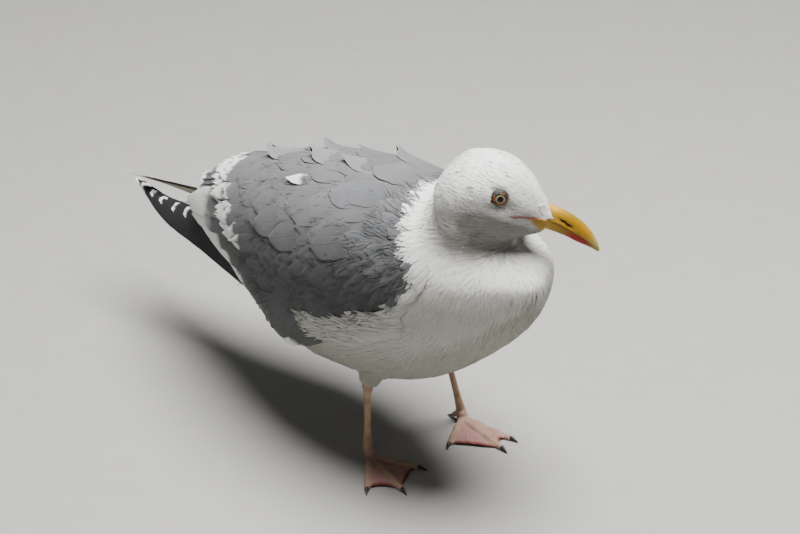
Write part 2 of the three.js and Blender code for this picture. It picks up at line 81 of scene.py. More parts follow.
def table(*rows):
    """One smooth curve over the first column for each further column."""
    rows = np.array(rows, float)
    return [through(*rows[:, [0, k]]) for k in range(1, rows.shape[1])]


def swell(distance, reach):
    """Quarter ellipse that rises from 0 at an end to 1 at `reach` from it."""
    u = np.clip(distance / reach, 0, 1)
    return np.sqrt(1 - (1 - u) ** 2)


def ease(value, low, high):
    """Smooth step from 0 at `low` to 1 at `high`."""
    u = np.clip((value - low) / (high - low), 0, 1)
    return u * u * (3 - 2 * u)


def unit(vectors):
    return vectors / np.maximum(np.linalg.norm(vectors, axis=-1, keepdims=True), 1e-9)


def blend(first, second, share):
    share = np.asarray(share)[..., None]
    return first * (1 - share) + second * share


def ripple(points, wave, seed, waves=9):
    """Smooth noise about -1 to 1: a sum of plane sine waves near one wavelength, in seeded directions."""
    rng = np.random.default_rng(seed)
    directions = unit(rng.normal(size=(waves, 3))) * (2 * np.pi / wave) * rng.uniform(0.6, 1.6, (waves, 1))
    phases = rng.uniform(0, 2 * np.pi, waves)
    return np.sin(points @ directions.T + phases).sum(-1) / np.sqrt(waves)


def placed(points):
    return (points + ROW_SHIFT) * 0.001


def in_body(points):
    return points - BODY_PLACE


# ---------------------------------------------------------------- the head's own frame
HEAD_FORWARD = np.array([
    np.sin(HEAD_TURN) * np.cos(HEAD_DROP), -np.cos(HEAD_TURN) * np.cos(HEAD_DROP), -np.sin(HEAD_DROP)])
HEAD_LEFT = np.array([np.cos(HEAD_TURN), np.sin(HEAD_TURN), 0.0])
HEAD_UP = np.cross(HEAD_FORWARD, HEAD_LEFT)
HEAD_AXES = np.stack([HEAD_FORWARD, HEAD_LEFT, HEAD_UP])


def from_head(along, side, up):
    along, side, up = np.broadcast_arrays(*(np.asarray(v, float) for v in (along, side, up)))
    return HEAD_CENTRE + np.stack([along, side, up], -1) @ HEAD_AXES


def to_head(points):
    """Along, to the left of and above the head's axis, as three arrays."""
    return np.moveaxis((points - HEAD_CENTRE) @ HEAD_AXES.T, -1, 0)


# ---------------------------------------------------------------- sizes, as in the solids
trunk_sizes = table(
    (TRUNK_FRONT, 179, 28, 14, 32), (-105, 176, 46, 23, 50), (-80, 168, 56, 42, 64), (-45, 158, 63, 62, 80),
    (0, 148, 66, 71, 89), (45, 140, 63, 70, 90), (85, 130, 57, 54, 84), (120, 120, 43, 34, 62),
    (155, 110, 28, 20, 28), (TRUNK_REAR, 102, 18, 9, 11))
neck_sizes = table((0, 46, 42, 42), (0.35, 44, 36, 42), (0.7, 36, 24, 39), (1, 27, 19, 28))
head_sizes = table(
    (HEAD_BACK, -6, 22, 22, 20), (-28, -3, 26, 30.5, 29), (-12, 0, 28, 33.8, 32.5), (3, 1, 25.8, 33.2, 32),
    (14, 1, 20.8, 30.2, 28), (23, 0, 15.6, 24.4, 20.5), (31, -1, 10.4, 17, 13), (HEAD_FRONT, -2, 7, 9, 7))
cloak_sizes = table(
    (WRIST, 160, 60, 50, 60, 8, 62, 104), (-35, 156, 67, 63, 72, 9, 50, 112), (10, 148, 71.5, 73, 80, 9, 36, 117),
    (50, 142, 70.5, 73, 94, 8, 22, 127), (90, 137, 65, 69, 104, 7, 8, 133), (130, 133, 56, 60, 80, 6, 4, 131),
    (170, 128, 45, 50.5, 56, 5, 4, 119), (210, 121, 33, 39, 42, 4, 4, 104), (TERTIAL_TIP, 113, 20, 27, 28, 4, 5, 80))
blade_sizes = table(
    (96, 42, 98, 16, 22, 6), (140, 34, 101, 17, 26, 5), (190, 26, 103, 17.5, 30, 4.4), (240, 18, 104, 15, 34, 4),
    (290, 8, 101, 10, 48, 3.4), (WING_TIP, -6, 98, 4.5, 62, 2.4))
tip_rise = through((96, 0), (200, 0), (290, 5.2), (WING_TIP, 5.2))
tail_sizes = table((120, 112, 18, 16), (160, 110, 21, 13), (200, 104, 18, 8), (240, 99, 17, 5), (288, 94, 17.5, 3))
bill_sizes = table(
    (BILL_ROOT, 14, -7, 8.2), (33, 12, -6.7, 7), (44, 11.5, -6.0, 5.6), (54, 9.9, -6.1, 4.9), (62, 7.4, -7, 4.3),
    (70, 3, -7.4, 3.3), (76, -2.2, -8, 2.2), (BILL_TIP, -6.3, -9, 1.2))
cutting_edge = through((BILL_ROOT, 2.2), (38, 2.3), (52, 0.9), (64, -1.6), (72, -4.3), (84, -9.5))
shank_sizes = table(
    (0, 4.0, 4.6, 4.6), (0.12, 3.1, 3.5, 3.7), (0.5, 2.3, 2.7, 3.0), (0.85, 2.6, 3.1, 3.8), (0.94, 3.8, 4.2, 5.0),
    (1, 3.4, 3.8, 4.2))
HOCKS = {"left": np.array([26.5, -2, SHANK_TOP]), "right": np.array([-51.0, -5, SHANK_TOP])}
THIGH_RISE = {"left": np.array([-10.0, -10, 42]), "right": np.array([3.0, -8, 42])}
STEPS = {
    "left": (-6, {"inner": 50, "middle": 0, "outer": -18}),
    "right": (-12, {"inner": 41, "middle": 0, "outer": -30})}
TOE_LENGTHS = {"inner": 39, "middle": 52, "outer": 46}

# Where the grey of mantle and wing starts and ends: y over the angle from the back's top, and angle over y.
grey_front = through((0, -27), (20, -39), (35, -48), (48, -56), (60, -67), (70, -72), (80, -68), (92, -60), (104, -50))
grey_low = through((-60, 99), (-40, 103), (-14, 110), (13, 111), (37, 116), (79, 120), (120, 122), (250, 116))


# ---------------------------------------------------------------- meshes from arrays
def grid_faces(rows, columns, wrap=True, start=0):
    """Quads between neighbouring points of a rows x columns grid; with `wrap` each row is a closed ring."""
    i, j = np.meshgrid(np.arange(rows - 1), np.arange(columns if wrap else columns - 1), indexing="ij")
    a = i * columns + j
    b = i * columns + (j + 1) % columns
    return np.stack([a, b, b + columns, a + columns], -1).reshape(-1, 4) + start


def closed(rings):
    """Closed shape from a stack of rings: its first and last rings are shut by one polygon each."""
    rows, columns = rings.shape[:2]
    ring = np.arange(columns)
    caps = np.stack([ring[::-1], (rows - 1) * columns + ring])
    return rings.reshape(-1, 3), [grid_faces(rows, columns), caps]


def joined(shapes):
    """Several (points, [face arrays]) as one."""
    points, faces, start = [], [], 0
    for shape_points, shape_faces in shapes:
        points.append(shape_points)
        faces += [f + start for f in shape_faces]
        start += len(shape_points)
    return np.concatenate(points), faces


def outward(points, faces):
    """The same shape, turned so that its faces enclose a positive volume."""
    middle = points.mean(0)
    volume = 0.0
    for f in faces:
        a, b, c = (points[f[:, k]] - middle for k in (0, 1, 2))
        volume += np.einsum("ij,ij->", a, np.cross(b, c))
        if f.shape[1] == 4:
            d = points[f[:, 3]] - middle
            volume += np.einsum("ij,ij->", a, np.cross(c, d))
    return (points, faces) if volume > 0 else (points, [f[:, ::-1] for f in faces])


def piece(name, points, faces, tint=None, maps=(), values=(), sharp=None, normals=None):
    """A mesh object from points in mm, face arrays of any size, a colour for each point, UV maps, values, and
    for soft feathers the directions its faces' corners shade by."""
    mesh = bpy.data.meshes.new(name)
    mesh.vertices.add(len(points))
    mesh.vertices.foreach_set("co", placed(points).astype(np.float32).ravel())
    loops = np.concatenate([f.ravel() for f in faces]).astype(np.int32)
    sizes = np.concatenate([np.full(len(f), f.shape[1]) for f in faces])
    mesh.loops.add(len(loops))
    mesh.loops.foreach_set("vertex_index", loops)
    mesh.polygons.add(len(sizes))
    mesh.polygons.foreach_set("loop_start", np.concatenate([[0], np.cumsum(sizes)[:-1]]).astype(np.int32))
    mesh.update(calc_edges=True)
    if tint is not None:
        layer = mesh.attributes.new("tint", "FLOAT_COLOR", "POINT")
        layer.data.foreach_set("color", np.c_[tint, np.ones(len(tint))].astype(np.float32).ravel())
    for label, value in dict(values).items():
        mesh.attributes.new(label, "FLOAT", "POINT").data.foreach_set("value", value.astype(np.float32))
    for label, coordinates in dict(maps).items():
        layer = mesh.uv_layers.new(name=label)
        layer.data.foreach_set("uv", coordinates[loops].astype(np.float32).ravel())
    mesh.shade_smooth()
    if sharp is not None:
        mesh.set_sharp_from_angle(angle=np.radians(sharp))
    mesh.validate()
    if normals is not None:
        mesh.normals_split_custom_set(normals)
    thing = bpy.data.objects.new(name, mesh)
    bpy.context.scene.collection.objects.link(thing)
    return thing


# ---------------------------------------------------------------- lofts shared by skin, legs and bill
def ellipse_rings(centres, across, up, half, above, below, sides, power=2.0):
    """Superellipse rings: cos and sin of the angle raised to 2 / power, times the half width and half height."""
    angle = np.linspace(0, 2 * np.pi, sides, endpoint=False)
    c, s = np.cos(angle), np.sin(angle)
    x = np.sign(c) * np.abs(c) ** (2 / power) * np.asarray(half)[:, None]
    tall = np.where(s > 0, np.asarray(above)[:, None], np.asarray(below)[:, None])
    z = np.sign(s) * np.abs(s) ** (2 / power) * tall
    return centres[:, None] + across[..., None, :] * x[..., None] + up[..., None, :] * z[..., None]


def cosine_steps(low, high, count):
    return low + (high - low) * (0.5 - 0.5 * np.cos(np.linspace(0.02, 0.98, count) * np.pi))


def body_point(x, y, z):
    x, y, z = np.broadcast_arrays(*(np.asarray(v, float) for v in (x, y, z)))
    return BODY_PLACE + np.stack([x, y, z], -1)


def trunk_form(inset):
    """Trunk: superellipse rings along y, every half size less by the coat's depth."""
    y = cosine_steps(TRUNK_FRONT + inset, TRUNK_REAR, 60)
    centre, half, rise, drop = (curve(y) for curve in trunk_sizes)
    taper = swell(y - TRUNK_FRONT - inset + 0.5, 34) * swell(TRUNK_REAR + 1 - y, 10)
    sizes = [np.maximum(size * taper - inset, 0.4) for size in (half, rise, drop)]
    x_axis, z_axis = np.eye(3)[[0, 2]]
    rings = ellipse_rings(body_point(0, y, centre), x_axis[None], z_axis[None], *sizes, 56, 2.2)
    return outward(*closed(rings))


def neck_form(inset):
    """Neck: ellipse rings along a path from the shoulders up into the head."""
    keys = np.array([
        body_point(0, -36, 164), body_point(0, -62, 186), body_point(0, -80, 208), HEAD_CENTRE + (1, 5, -4)])
    t = np.linspace(0, 1, 30)
    path = np.stack([through(*zip(np.linspace(0, 1, 4), keys[:, k]))(t) for k in range(3)], -1)
    along = unit(np.gradient(path, axis=0))
    across = np.array([1.0, 0, 0])
    front = unit(np.cross(across, along))
    front = front * -np.sign(front[:, 1:2])
    half, ahead, behind = (curve(t) for curve in neck_sizes)
    taper = swell(t + 0.01, 0.2) * swell(1.01 - t, 0.3)
    sizes = [np.maximum(size * taper - inset, 0.4) for size in (half, ahead, behind)]
    return outward(*closed(ellipse_rings(path, across[None], front, *sizes, 44)))


def head_form(depth):
    """Head: superellipse rings along its own axis, less the coat, which thins out towards the bill."""
    x = cosine_steps(HEAD_BACK + depth, HEAD_FRONT - 0.5, 50)
    centre, half, rise, drop = (curve(x) for curve in head_sizes)
    rise = rise - 2.0 * ease(x, 0, 14) * (1 - ease(x, 25, 36))
    taper = swell(x - HEAD_BACK - depth + 0.3, 15) * swell(HEAD_FRONT - x, 6)
    inset = depth * (1 - 0.8 * ease(x, 10, 34))
    sizes = [np.maximum(size * taper - inset, 0.3) for size in (half, rise, drop)]
    rings = ellipse_rings(from_head(x, 0, centre), HEAD_LEFT[None], HEAD_UP[None], *sizes, 48, 2.1)
    return outward(*closed(rings))


def wing_form(side, inset, inward):
    """Folded wing: a shell between two angles round the body, its outer wall sunk by the coat's depth."""
    y = cosine_steps(WRIST + 4, TERTIAL_TIP - 22, 54)
    centre, half, rise, drop, thick, high, low = (curve(y)[:, None] for curve in cloak_sizes)
    turn = np.linspace(0, 2 * np.pi, 40, endpoint=False)[None]
    taper = (swell(y - WRIST, 26) * swell(TERTIAL_TIP - 20 - y, 16))[:, None]
    reach = (low - high) / 2 * (0.35 + 0.65 * taper) - 2
    along = np.sign(np.cos(turn)) * np.abs(np.cos(turn)) ** 0.85
    depth = np.sign(np.sin(turn)) * np.abs(np.sin(turn)) ** 0.7
    angle = np.radians((high + low) / 2 + reach * along)
    sunk = np.where(depth > 0, inset + (1 - depth) * 2, inset + 2 + (thick + inward) * -depth)
    height = np.where(np.cos(angle) > 0, rise, drop)
    x = np.sin(angle) * (half - sunk)
    z = centre + np.cos(angle) * (height - sunk)
    return outward(*closed(body_point(side * x, y[:, None], z)))


def back_form(inset):
    """Closed back under the folded wings, which fills what their tips roof over."""
    y = cosine_steps(20, 228, 40)
    centre, half, rise = (curve(y) for curve in cloak_sizes[:3])
    drop = through((20, 40), (130, 50), (170, 26), (210, 9), (228, 4))(y)
    taper = swell(y - 19, 20) * swell(229 - y, 12)
    sizes = [np.maximum((size - inset) * taper, 0.4) for size in (half, rise, drop + inset)]
    x_axis, z_axis = np.eye(3)[[0, 2]]
    return outward(*closed(ellipse_rings(body_point(0, y, centre), x_axis[None], z_axis[None], *sizes, 44)))


def limb_frame(low, high):
    along = unit(high - low)
    across = unit(np.array([1.0, 0, 0]) - along * along[0])
    front = unit(np.cross(across, along))
    return across, front * -np.sign(front[1])


def thigh_form(name, inset):
    """Lower thigh: a cone from the hock up into the belly."""
    low = HOCKS[name] + (0, -1, 1.5)
    high = low + THIGH_RISE[name]
    across, front = limb_frame(low, high)
    t = np.linspace(0.02, 0.98, 24)
    size = np.maximum((4.6 + 14.4 * t) * swell(t, 0.12) - inset * ease(t, 0.1, 0.5), 1.2)
    centres = low + (high - low) * t[:, None]
    return outward(*closed(ellipse_rings(centres, across[None], front[None], size, size * 1.15, size * 1.15, 24)))


def evaluated(thing):
    """Points and quads of an object after its modifiers."""
    shape = thing.evaluated_get(bpy.context.evaluated_depsgraph_get()).to_mesh()
    points = np.zeros(len(shape.vertices) * 3, np.float32)
    shape.vertices.foreach_get("co", points)
    corners = np.zeros(len(shape.polygons) * 4, np.int32)
    shape.loops.foreach_get("vertex_index", corners)
    return points.reshape(-1, 3).astype(float) * 1000 - ROW_SHIFT, corners.reshape(-1, 4)


def melted(shapes, voxel, rounds, fill=0):
    """Closed shapes melted into one skin by a voxel remesh and smoothed. With `fill`, that many more rounds of
    smoothing are kept where they move the skin outwards, which rounds out its creases and nothing else."""
    rough = piece("rough", *joined(shapes))
    melt = rough.modifiers.new("melt", "REMESH")
    melt.mode = "VOXEL"
    melt.voxel_size = voxel
    soft = rough.modifiers.new("soft", "SMOOTH")
    soft.factor = 0.5
    soft.iterations = rounds
    points, quads = evaluated(rough)
    if fill:
        soft.iterations = rounds + fill
        filled, _ = evaluated(rough)
        a, b, c, d = (points[quads[:, k]] for k in range(4))
        facing = np.cross(c - a, d - b)
        normals = np.zeros_like(points)
        for k in range(4):
            np.add.at(normals, quads[:, k], facing)
        normals = unit(normals)
        gain = np.clip(((filled - points) * normals).sum(1), 0, 8)
        points = points + normals * gain[:, None]
    bpy.data.objects.remove(rough)
    return points, quads


def body_skin():
    """The lofts of body, neck, head, wings and thighs as one closed skin."""
    forms = [trunk_form(3.0), neck_form(2.7), head_form(1.6), back_form(4.5)]
    forms += [wing_form(side, 3.2, 5.0) for side in SIDES.values()]
    forms += [thigh_form(name, 2.0) for name in SIDES]
    return melted(forms, 0.0018, 8, 150)


# ---------------------------------------------------------------- feathers over a skin
class Ground:
    """A skin that feather roots and paths are pressed on to."""

    def __init__(self, points, quads):
        self.thing = piece("ground", points, [quads])
        self.points, self.quads = points, quads
        a, b, c, d = (points[quads[:, k]] for k in range(4))
        self.area = np.linalg.norm(np.cross(c - a, d - b), axis=1) / 2

    def press(self, points):
        """Nearest points on the skin and the outward directions there, by two shrink-wraps 2 mm apart."""
        mesh = bpy.data.meshes.new("probe")
        mesh.vertices.add(len(points))
        mesh.vertices.foreach_set("co", placed(points).astype(np.float32).ravel())
        probe = bpy.data.objects.new("probe", mesh)
        bpy.context.scene.collection.objects.link(probe)
        wrap = probe.modifiers.new("wrap", "SHRINKWRAP")
        wrap.target = self.thing
        wrap.wrap_method = "NEAREST_SURFACEPOINT"
        found = []
        for mode, offset in (("ON_SURFACE", 0.0), ("ABOVE_SURFACE", 0.002)):
            wrap.wrap_mode = mode
            wrap.offset = offset
            shape = probe.evaluated_get(bpy.context.evaluated_depsgraph_get())
            out = np.zeros(len(points) * 3, np.float32)
            shape.data.vertices.foreach_get("co", out)
            found.append(out.reshape(-1, 3).astype(float) * 1000 - ROW_SHIFT)
        bpy.data.objects.remove(probe)
        return found[0], unit(found[1] - found[0])

    def scatter(self, spacing, inside, seed, crowd=5):
        """Roots about `spacing` apart where inside(points): random points by area, the most central kept
        of those in each cube of that side."""
        rng = np.random.default_rng(seed)
        share = self.area * inside(self.points[self.quads].mean(1))
        count = int(share.sum() / spacing ** 2 * crowd)
        pick = rng.choice(len(self.quads), count, p=share / share.sum())
        u, v = rng.random((2, count, 1))
        a, b, c, d = (self.points[self.quads[pick, k]] for k in range(4))
        points = (1 - v) * ((1 - u) * a + u * b) + v * ((1 - u) * d + u * c)
        cell = np.floor(points / spacing).astype(int)
        off = np.linalg.norm(points / spacing - cell - 0.5, axis=1)
        order = np.argsort(off)
        _, first = np.unique(cell[order], axis=0, return_index=True)
        return points[order[first]]


def lie_of_coat(points):
    """Direction of growth: away from a source beyond the bill on the head; out and down from one inside the
    throat over neck and shoulders; lower down, down and more and more backwards. Flank feathers sweep up over
    the wing's edge."""
    body = in_body(points)
    from_bill = unit(points - from_head(64, 0, 1))
    from_throat = unit(body - (0, -100, 236))
    back = 0.15 + 1.1 * ease(body[:, 1], -115, -10)
    lower = unit(body - (0, -165, 400) + back[:, None] * (0, 240, 0))
    lie = blend(lower, from_throat, ease(body[:, 2], 148, 182))
    lie = blend(lie, from_bill, ease(nape_height(points), -24, -4) * (1 - off_head(points)))
    angle = body_angle(points)
    flank = ease(angle, 92, 104) * (1 - ease(angle, 122, 136)) * ease(body[:, 1], -75, -45)
    lie[:, 2] += 0.55 * flank * (1 - ease(body[:, 1], 40, 90))
    return unit(lie)


def off_head(points):
    """0 on the head and 1 clear of it, below and before the throat: from the distance outside the head's own
    form, which is the share of its half sizes there, less 1, times their mean."""
    along, side, up = to_head(points)
    centre, half, rise, drop = (curve(along) for curve in head_sizes)
    level = up - centre
    outside = (np.hypot(side / half, level / np.where(level > 0, rise, drop)) - 1) * np.sqrt(half * drop)
    return ease(outside, 4, 11) * ease(along, 2, 12)


def body_angle(points):
    """Degrees round the body from the top of the back, either way."""
    body = in_body(points)
    return np.degrees(np.arctan2(np.abs(body[:, 0]), body[:, 2] - trunk_sizes[0](body[:, 1])))


def paths(ground, roots, length, rows, sway, seed, lie_at=lie_of_coat):
    """Paths of growth: `rows` points a feather, each a step along the lie from the last and pressed back on
    the skin. The lie is turned by smooth noise of `sway` radians, and a little at random."""
    rng = np.random.default_rng(seed)
    bend = sway * ripple(roots, 17, seed) + 0.35 * sway * rng.normal(size=len(roots))
    here, normal = ground.press(roots)
    path, normals = [here], [normal]
    length = np.broadcast_to(length, len(roots))
    for _ in range(rows - 1):
        lie = lie_at(here)
        lie = unit(lie - normal * (lie * normal).sum(-1, keepdims=True))
        lie = lie * np.cos(bend)[:, None] + np.cross(normal, lie) * np.sin(bend)[:, None]
        here, normal = ground.press(here + lie * (length / (rows - 1))[:, None])
        path.append(here)
        normals.append(normal)
    return np.stack(path, 1), np.stack(normals, 1)


def bake_patches(roots, axis_place, round_place):
    """A square patch for each feather at its root's place on the skin's unwrap: along the body and round it,
    evened out by rank so that no two patches share a place."""
    count = len(roots)
    columns = int(np.ceil(np.sqrt(count)))
    order = np.argsort(axis_place, kind="stable")
    column = np.empty(count, int)
    column[order] = np.arange(count) // columns
    ranked = np.lexsort((round_place, column))
    row = np.empty(count, int)
    row[ranked] = np.arange(count) - column[ranked] * columns
    return (np.stack([column, row], -1) + 0.1) / columns, 0.8 / columns


def vanes(path, normals, half, camber, lift, across=(-1, -0.5, 0, 0.5, 1), frayed=0.0, seed=0, roll=0.0, ragged=0.0):
    """Feathers as thin closed vanes. Each row of points arches over the path by camber times the half width,
    stands `lift` above it and leans by `roll`; its flat underside shuts the vane, and barbs at the tip end
    unevenly by `ragged` mm. Returns points, faces, vane places, and shading directions that lean to the skin's
    own so that the coat looks soft."""
    rng = np.random.default_rng(seed)
    count, rows = path.shape[:2]
    across = np.array(across, float)
    tangent = unit(np.gradient(path + normals * lift[..., None], axis=1))
    side = unit(np.cross(tangent, normals))
    upward = unit(np.cross(side, tangent))
    rough = 1 + frayed * rng.normal(size=(count, rows, 2))
    width = half[..., None] * np.where(across < 0, rough[..., :1], rough[..., 1:])
    arch = (1 - across ** 2) * (np.asarray(camber)[..., None, None] * half[..., None])
    points = path[:, :, None] + side[:, :, None] * (across * width)[..., None]
    points = points + upward[:, :, None] * (arch + lift[..., None] + roll * across * width)[..., None]
    uneven = ragged * rng.normal(size=(count, 1, len(across))) * np.linspace(0, 1, rows)[None, :, None] ** 5
    points = points + tangent[:, :, None] * uneven[..., None]
    columns = len(across)
    size = rows * columns
    starts = (np.arange(count) * size)[:, None, None]
    top = (grid_faces(rows, columns, wrap=False)[None] + starts).reshape(-1, 4)
    edge = np.arange(rows - 1) * columns
    under = np.stack([edge, edge + columns, edge + 2 * columns - 1, edge + columns - 1], -1)
    under = (under[None] + starts).reshape(-1, 4)
    ring = np.arange(columns)
    caps = np.stack([ring[::-1], size - columns + ring])
    caps = (caps[None] + starts).reshape(-1, columns)
    v, u = np.meshgrid(np.linspace(0, 1, rows), (across + 1) / 2, indexing="ij")
    place = np.broadcast_to(np.stack([u, v], -1), (count, rows, columns, 2))
    soft = unit(blend(upward, normals, 0.6))[:, :, None] + side[:, :, None] * (0.22 * across)[:, None]
    return points, [top, under, caps], place, unit(soft)


def outline(*shares):
    """Half width along a feather as shares of its greatest, from root to tip, one share a row."""
    return np.array(shares, float)


def corner_shading(points, faces, soft):
    """Shading directions for each face's corners: the soft ones on the vanes' tops, which are every third array
    of faces, and the faces' own elsewhere."""
    out = []
    for k, f in enumerate(faces):
        if k % 3 == 0:
            out.append(soft[f.ravel()])
        else:
            middle = f.shape[1] // 2
            own = unit(np.cross(points[f[:, middle]] - points[f[:, 0]], points[f[:, -1]] - points[f[:, 1]]))
            out.append(np.repeat(own, f.shape[1], 0))
    return np.concatenate(out)


def coat(name, parts):
    """One coat object from several (points, faces, vane places, shading, tints, roots) groups of feathers."""
    shapes = [(points.reshape(-1, 3), faces) for points, faces, *_ in parts]
    points, faces = joined(shapes)
    roots = np.concatenate([part[5] for part in parts])
    body = in_body(roots)
    corner, size = bake_patches(roots, body[:, 1], np.arctan2(body[:, 0], body[:, 2] - trunk_sizes[0](body[:, 1])))
    patches, start = [], 0
    for _, _, place, _, _, group_roots in parts:
        end = start + len(group_roots)
        patches.append((corner[start:end, None, None] + place * size).reshape(-1, 2))
        start = end
    thing = piece(
        name, points, faces,
        tint=np.concatenate([part[4].reshape(-1, 3) for part in parts]),
        maps={"vane": np.concatenate([part[2].reshape(-1, 2) for part in parts]), "OFBake": np.concatenate(patches)},
        normals=corner_shading(points, faces, np.concatenate([part[3].reshape(-1, 3) for part in parts])))
    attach(thing, "root")
    return thing


# ---------------------------------------------------------------- markings
def grey_share(points):
    """1 on the grey of mantle and wings and 0 on the white: behind a front edge that follows the angle round
    the body and above a lower edge that follows y, both a little wavy."""
    body = in_body(points)
    angle = body_angle(points) + 1.5 * ripple(points, 11, 5)
    behind = body[:, 1] - grey_front(angle) + 2.0 * ripple(points, 9, 6)
    centre, half, rise, drop = (curve(body[:, 1]) for curve in cloak_sizes[:4])
    level = body[:, 2] - centre
    outermost = np.hypot(body[:, 0] / half, level / np.where(level > 0, rise, drop))
    inside = ease(body[:, 1], 40, 60) * (1 - ease(outermost, 0.76, 0.84))
    return ease(behind, -3, 4) * ease(grey_low(body[:, 1]) - angle, -2, 3) * (1 - inside)


def head_dusk_and_painted_shade(points):
    """Share of dusky grey on the head: round and before the eye, on the lores and the ear coverts, the bird's own marks
    made deeper in part as painted shade of the face, and painted shade over the lower cheek and along the chin.
    """
    along, side, up = to_head(points)
    outer = np.abs(side)
    eye_far = np.hypot(along - EYE_PLACE[0], up - EYE_PLACE[2])
    side_on = ease(outer, 8, 15)
    ring = 0.95 * np.exp(-(eye_far / 8.4) ** 6) + 0.32 * np.exp(-(np.hypot(along + 8, up - 9) / 7.5) ** 2)
    # Marks before the eye, on the lores and on the ear coverts: real dusky marks, made deeper as painted shade.
    before = 0.72 * np.exp(-((along - 8) / 6.5) ** 2 - ((up - 9.5) / 4.5) ** 2)
    lores = 0.60 * np.exp(-((along - 21) / 9) ** 2 - ((up - 4.5) / 4) ** 2)
    ears = 0.36 * np.exp(-((along + 15) / 12) ** 2 - ((up - 3) / 7) ** 2)
    # Painted shade over the lower cheek, below the ear coverts.
    ears = ears + 0.80 * np.exp(-((along + 2) / 25) ** 2 - ((up + 10) / 11) ** 2)
    # Painted shade along the chin and under the head's rear.
    chin = 0.95 * ease(-up, -3, 11) * ease(along, -38, 4)
    chin = np.maximum(chin, 0.30 * ease(-up, -8, 8) * (1 - ease(along, -26, -8)))
    return np.clip(side_on * (ring + before + ears) + ease(outer, 5, 10) * lores + ease(outer, 0, 5) * chin, 0, 0.92)


def painted_underside_shade(points):
    """Shares of red, green and blue left on the body's lower half: painted shade that dulls the white lower down and
    round towards the belly, with a warm cast as painted light bounced up from below.
    """
    low = 1 - ease(points[:, 2], 176, 238)
    tone_shift = low * np.maximum(ease(body_angle(points), 88, 145), 0.70)
    return 1 - tone_shift[:, None] * np.array([0.61, 0.615, 0.67])


def painted_wing_shade(points):
    """Share of the grey left towards the wing's lower edge: painted shade, darker further down the wing."""
    return 1 - 0.54 * ease(body_angle(points), 30, 84)


def plumage(points):
    """Colour of skin and coat at a place: white with painted shade underneath, mantle grey with painted shade towards
    the wing's lower edge, and the head's dusky marks with painted shade on face and chin.
    """
    white = WHITE * painted_underside_shade(points)
    colour = blend(white, MANTLE_GREY * painted_wing_shade(points)[:, None], grey_share(points))
    dusk = head_dusk_and_painted_shade(points) * ease(to_head(points)[0], -46, -32) * (1 - off_head(points))
    return blend(colour, DUSK, dusk * ease(nape_height(points), -16, 2))


# ---------------------------------------------------------------- coat, group by group
def nape_height(points):
    """Height over the slanting plane that parts head from neck."""
    normal = unit(np.array([0.1, -0.42, 0.9]))
    return (points - from_head(-16, 0, -24)) @ normal


def eye_distance(points):
    """Distance from the nearer eye's axis, in the side view of the head; far from the eyes it is large."""
    along, side, up = to_head(points)
    lobe = np.hypot((along - EYE_PLACE[0]) / 1.12, up - EYE_PLACE[2])
    return np.where(np.abs(side) > 12, lobe, 99.0)


def gape_distance(points):
    """Distance in the side view of the head from the gape's line, which runs back from the cutting edge."""
    along, side, up = to_head(points)
    line = np.interp(along, [9, 13, 24, 38], [1.4, 1.9, 2.7, 2.4])
    return np.where((along > 11) & (np.abs(side) > 4), np.abs(up - line), 99.0)


TUFT = outline(0.55, 1.0, 0.8, 0.12)
LOCK = outline(0.5, 0.95, 1.0, 0.72, 0.1)
SOFT = outline(0.6, 0.95, 1.0, 0.92, 0.66, 0.2)
PLUME = outline(0.45, 0.8, 0.97, 1.0, 0.98, 0.84, 0.5, 0.14)
SCAPULAR = outline(0.4, 0.7, 0.88, 0.97, 1.0, 1.0, 0.97, 0.9, 0.74, 0.48, 0.14)
QUILL = outline(
    0.7, 0.85, 0.94, 0.98, 1.0, 1.0, 1.0, 1.0, 0.99, 0.98, 0.96, 0.93, 0.88, 0.8, 0.66, 0.46, 0.16)


def tufts(ground, roots, length, half, low, high, sway, seed, shape=LOCK, camber=0.18, streak=0.0, wisps=0.05,
          uneven=1.0, lie_at=lie_of_coat):
    """Small body feathers: narrow lancets whose lift grows from `low` at the root to `high` at the tip. Clumps
    rise and turn together by smooth noise, a share of `wisps` stands well out, and each feather is a little
    darker at its root than at its tip."""
    rng = np.random.default_rng(seed + 1)
    rows = len(shape)
    count = len(roots)
    vary = rng.uniform(0.8, 1.2, count)
    path, normals = paths(ground, roots, np.broadcast_to(length, count) * vary, rows, sway, seed, lie_at)
    v = np.linspace(0, 1, rows)
    clump = 1 + uneven * (0.22 * ripple(roots, 14, seed + 2) + 0.12 * rng.normal(size=count))
    clump = clump + 1.6 * (rng.random(count) < wisps)
    low = np.broadcast_to(low, count)[:, None]
    high = (np.broadcast_to(high, count) * clump)[:, None]
    lift = low + (high - low) * v ** 0.9
    width = (np.broadcast_to(half, count) * rng.uniform(0.8, 1.2, count))[:, None] * shape
    points, faces, place, soft = vanes(path, normals, width, camber, lift, (-1, 0, 1), 0.12, seed)
    shown = path[:, rows // 2] if streak else roots
    tint = plumage(shown)[:, None, None] * rng.uniform(0.96, 1.0, (count, 1, 1, 1))
    tint = tint * (0.93 + 0.07 * ease(v, 0.1, 0.7))[:, None, None]
    if streak:
        marked = (rng.random(count) < streak) * ease(nape_height(roots), -4, 12) * ease(to_head(roots)[2], -4, 12)
        mark = marked[:, None] * np.sin(np.pi * np.clip(v * 1.15 - 0.1, 0, 1))
        tint = tint * (1 - 0.32 * mark)[:, :, None, None]
    tint = np.broadcast_to(tint, points.shape)
    return points, faces, place, soft, tint, roots


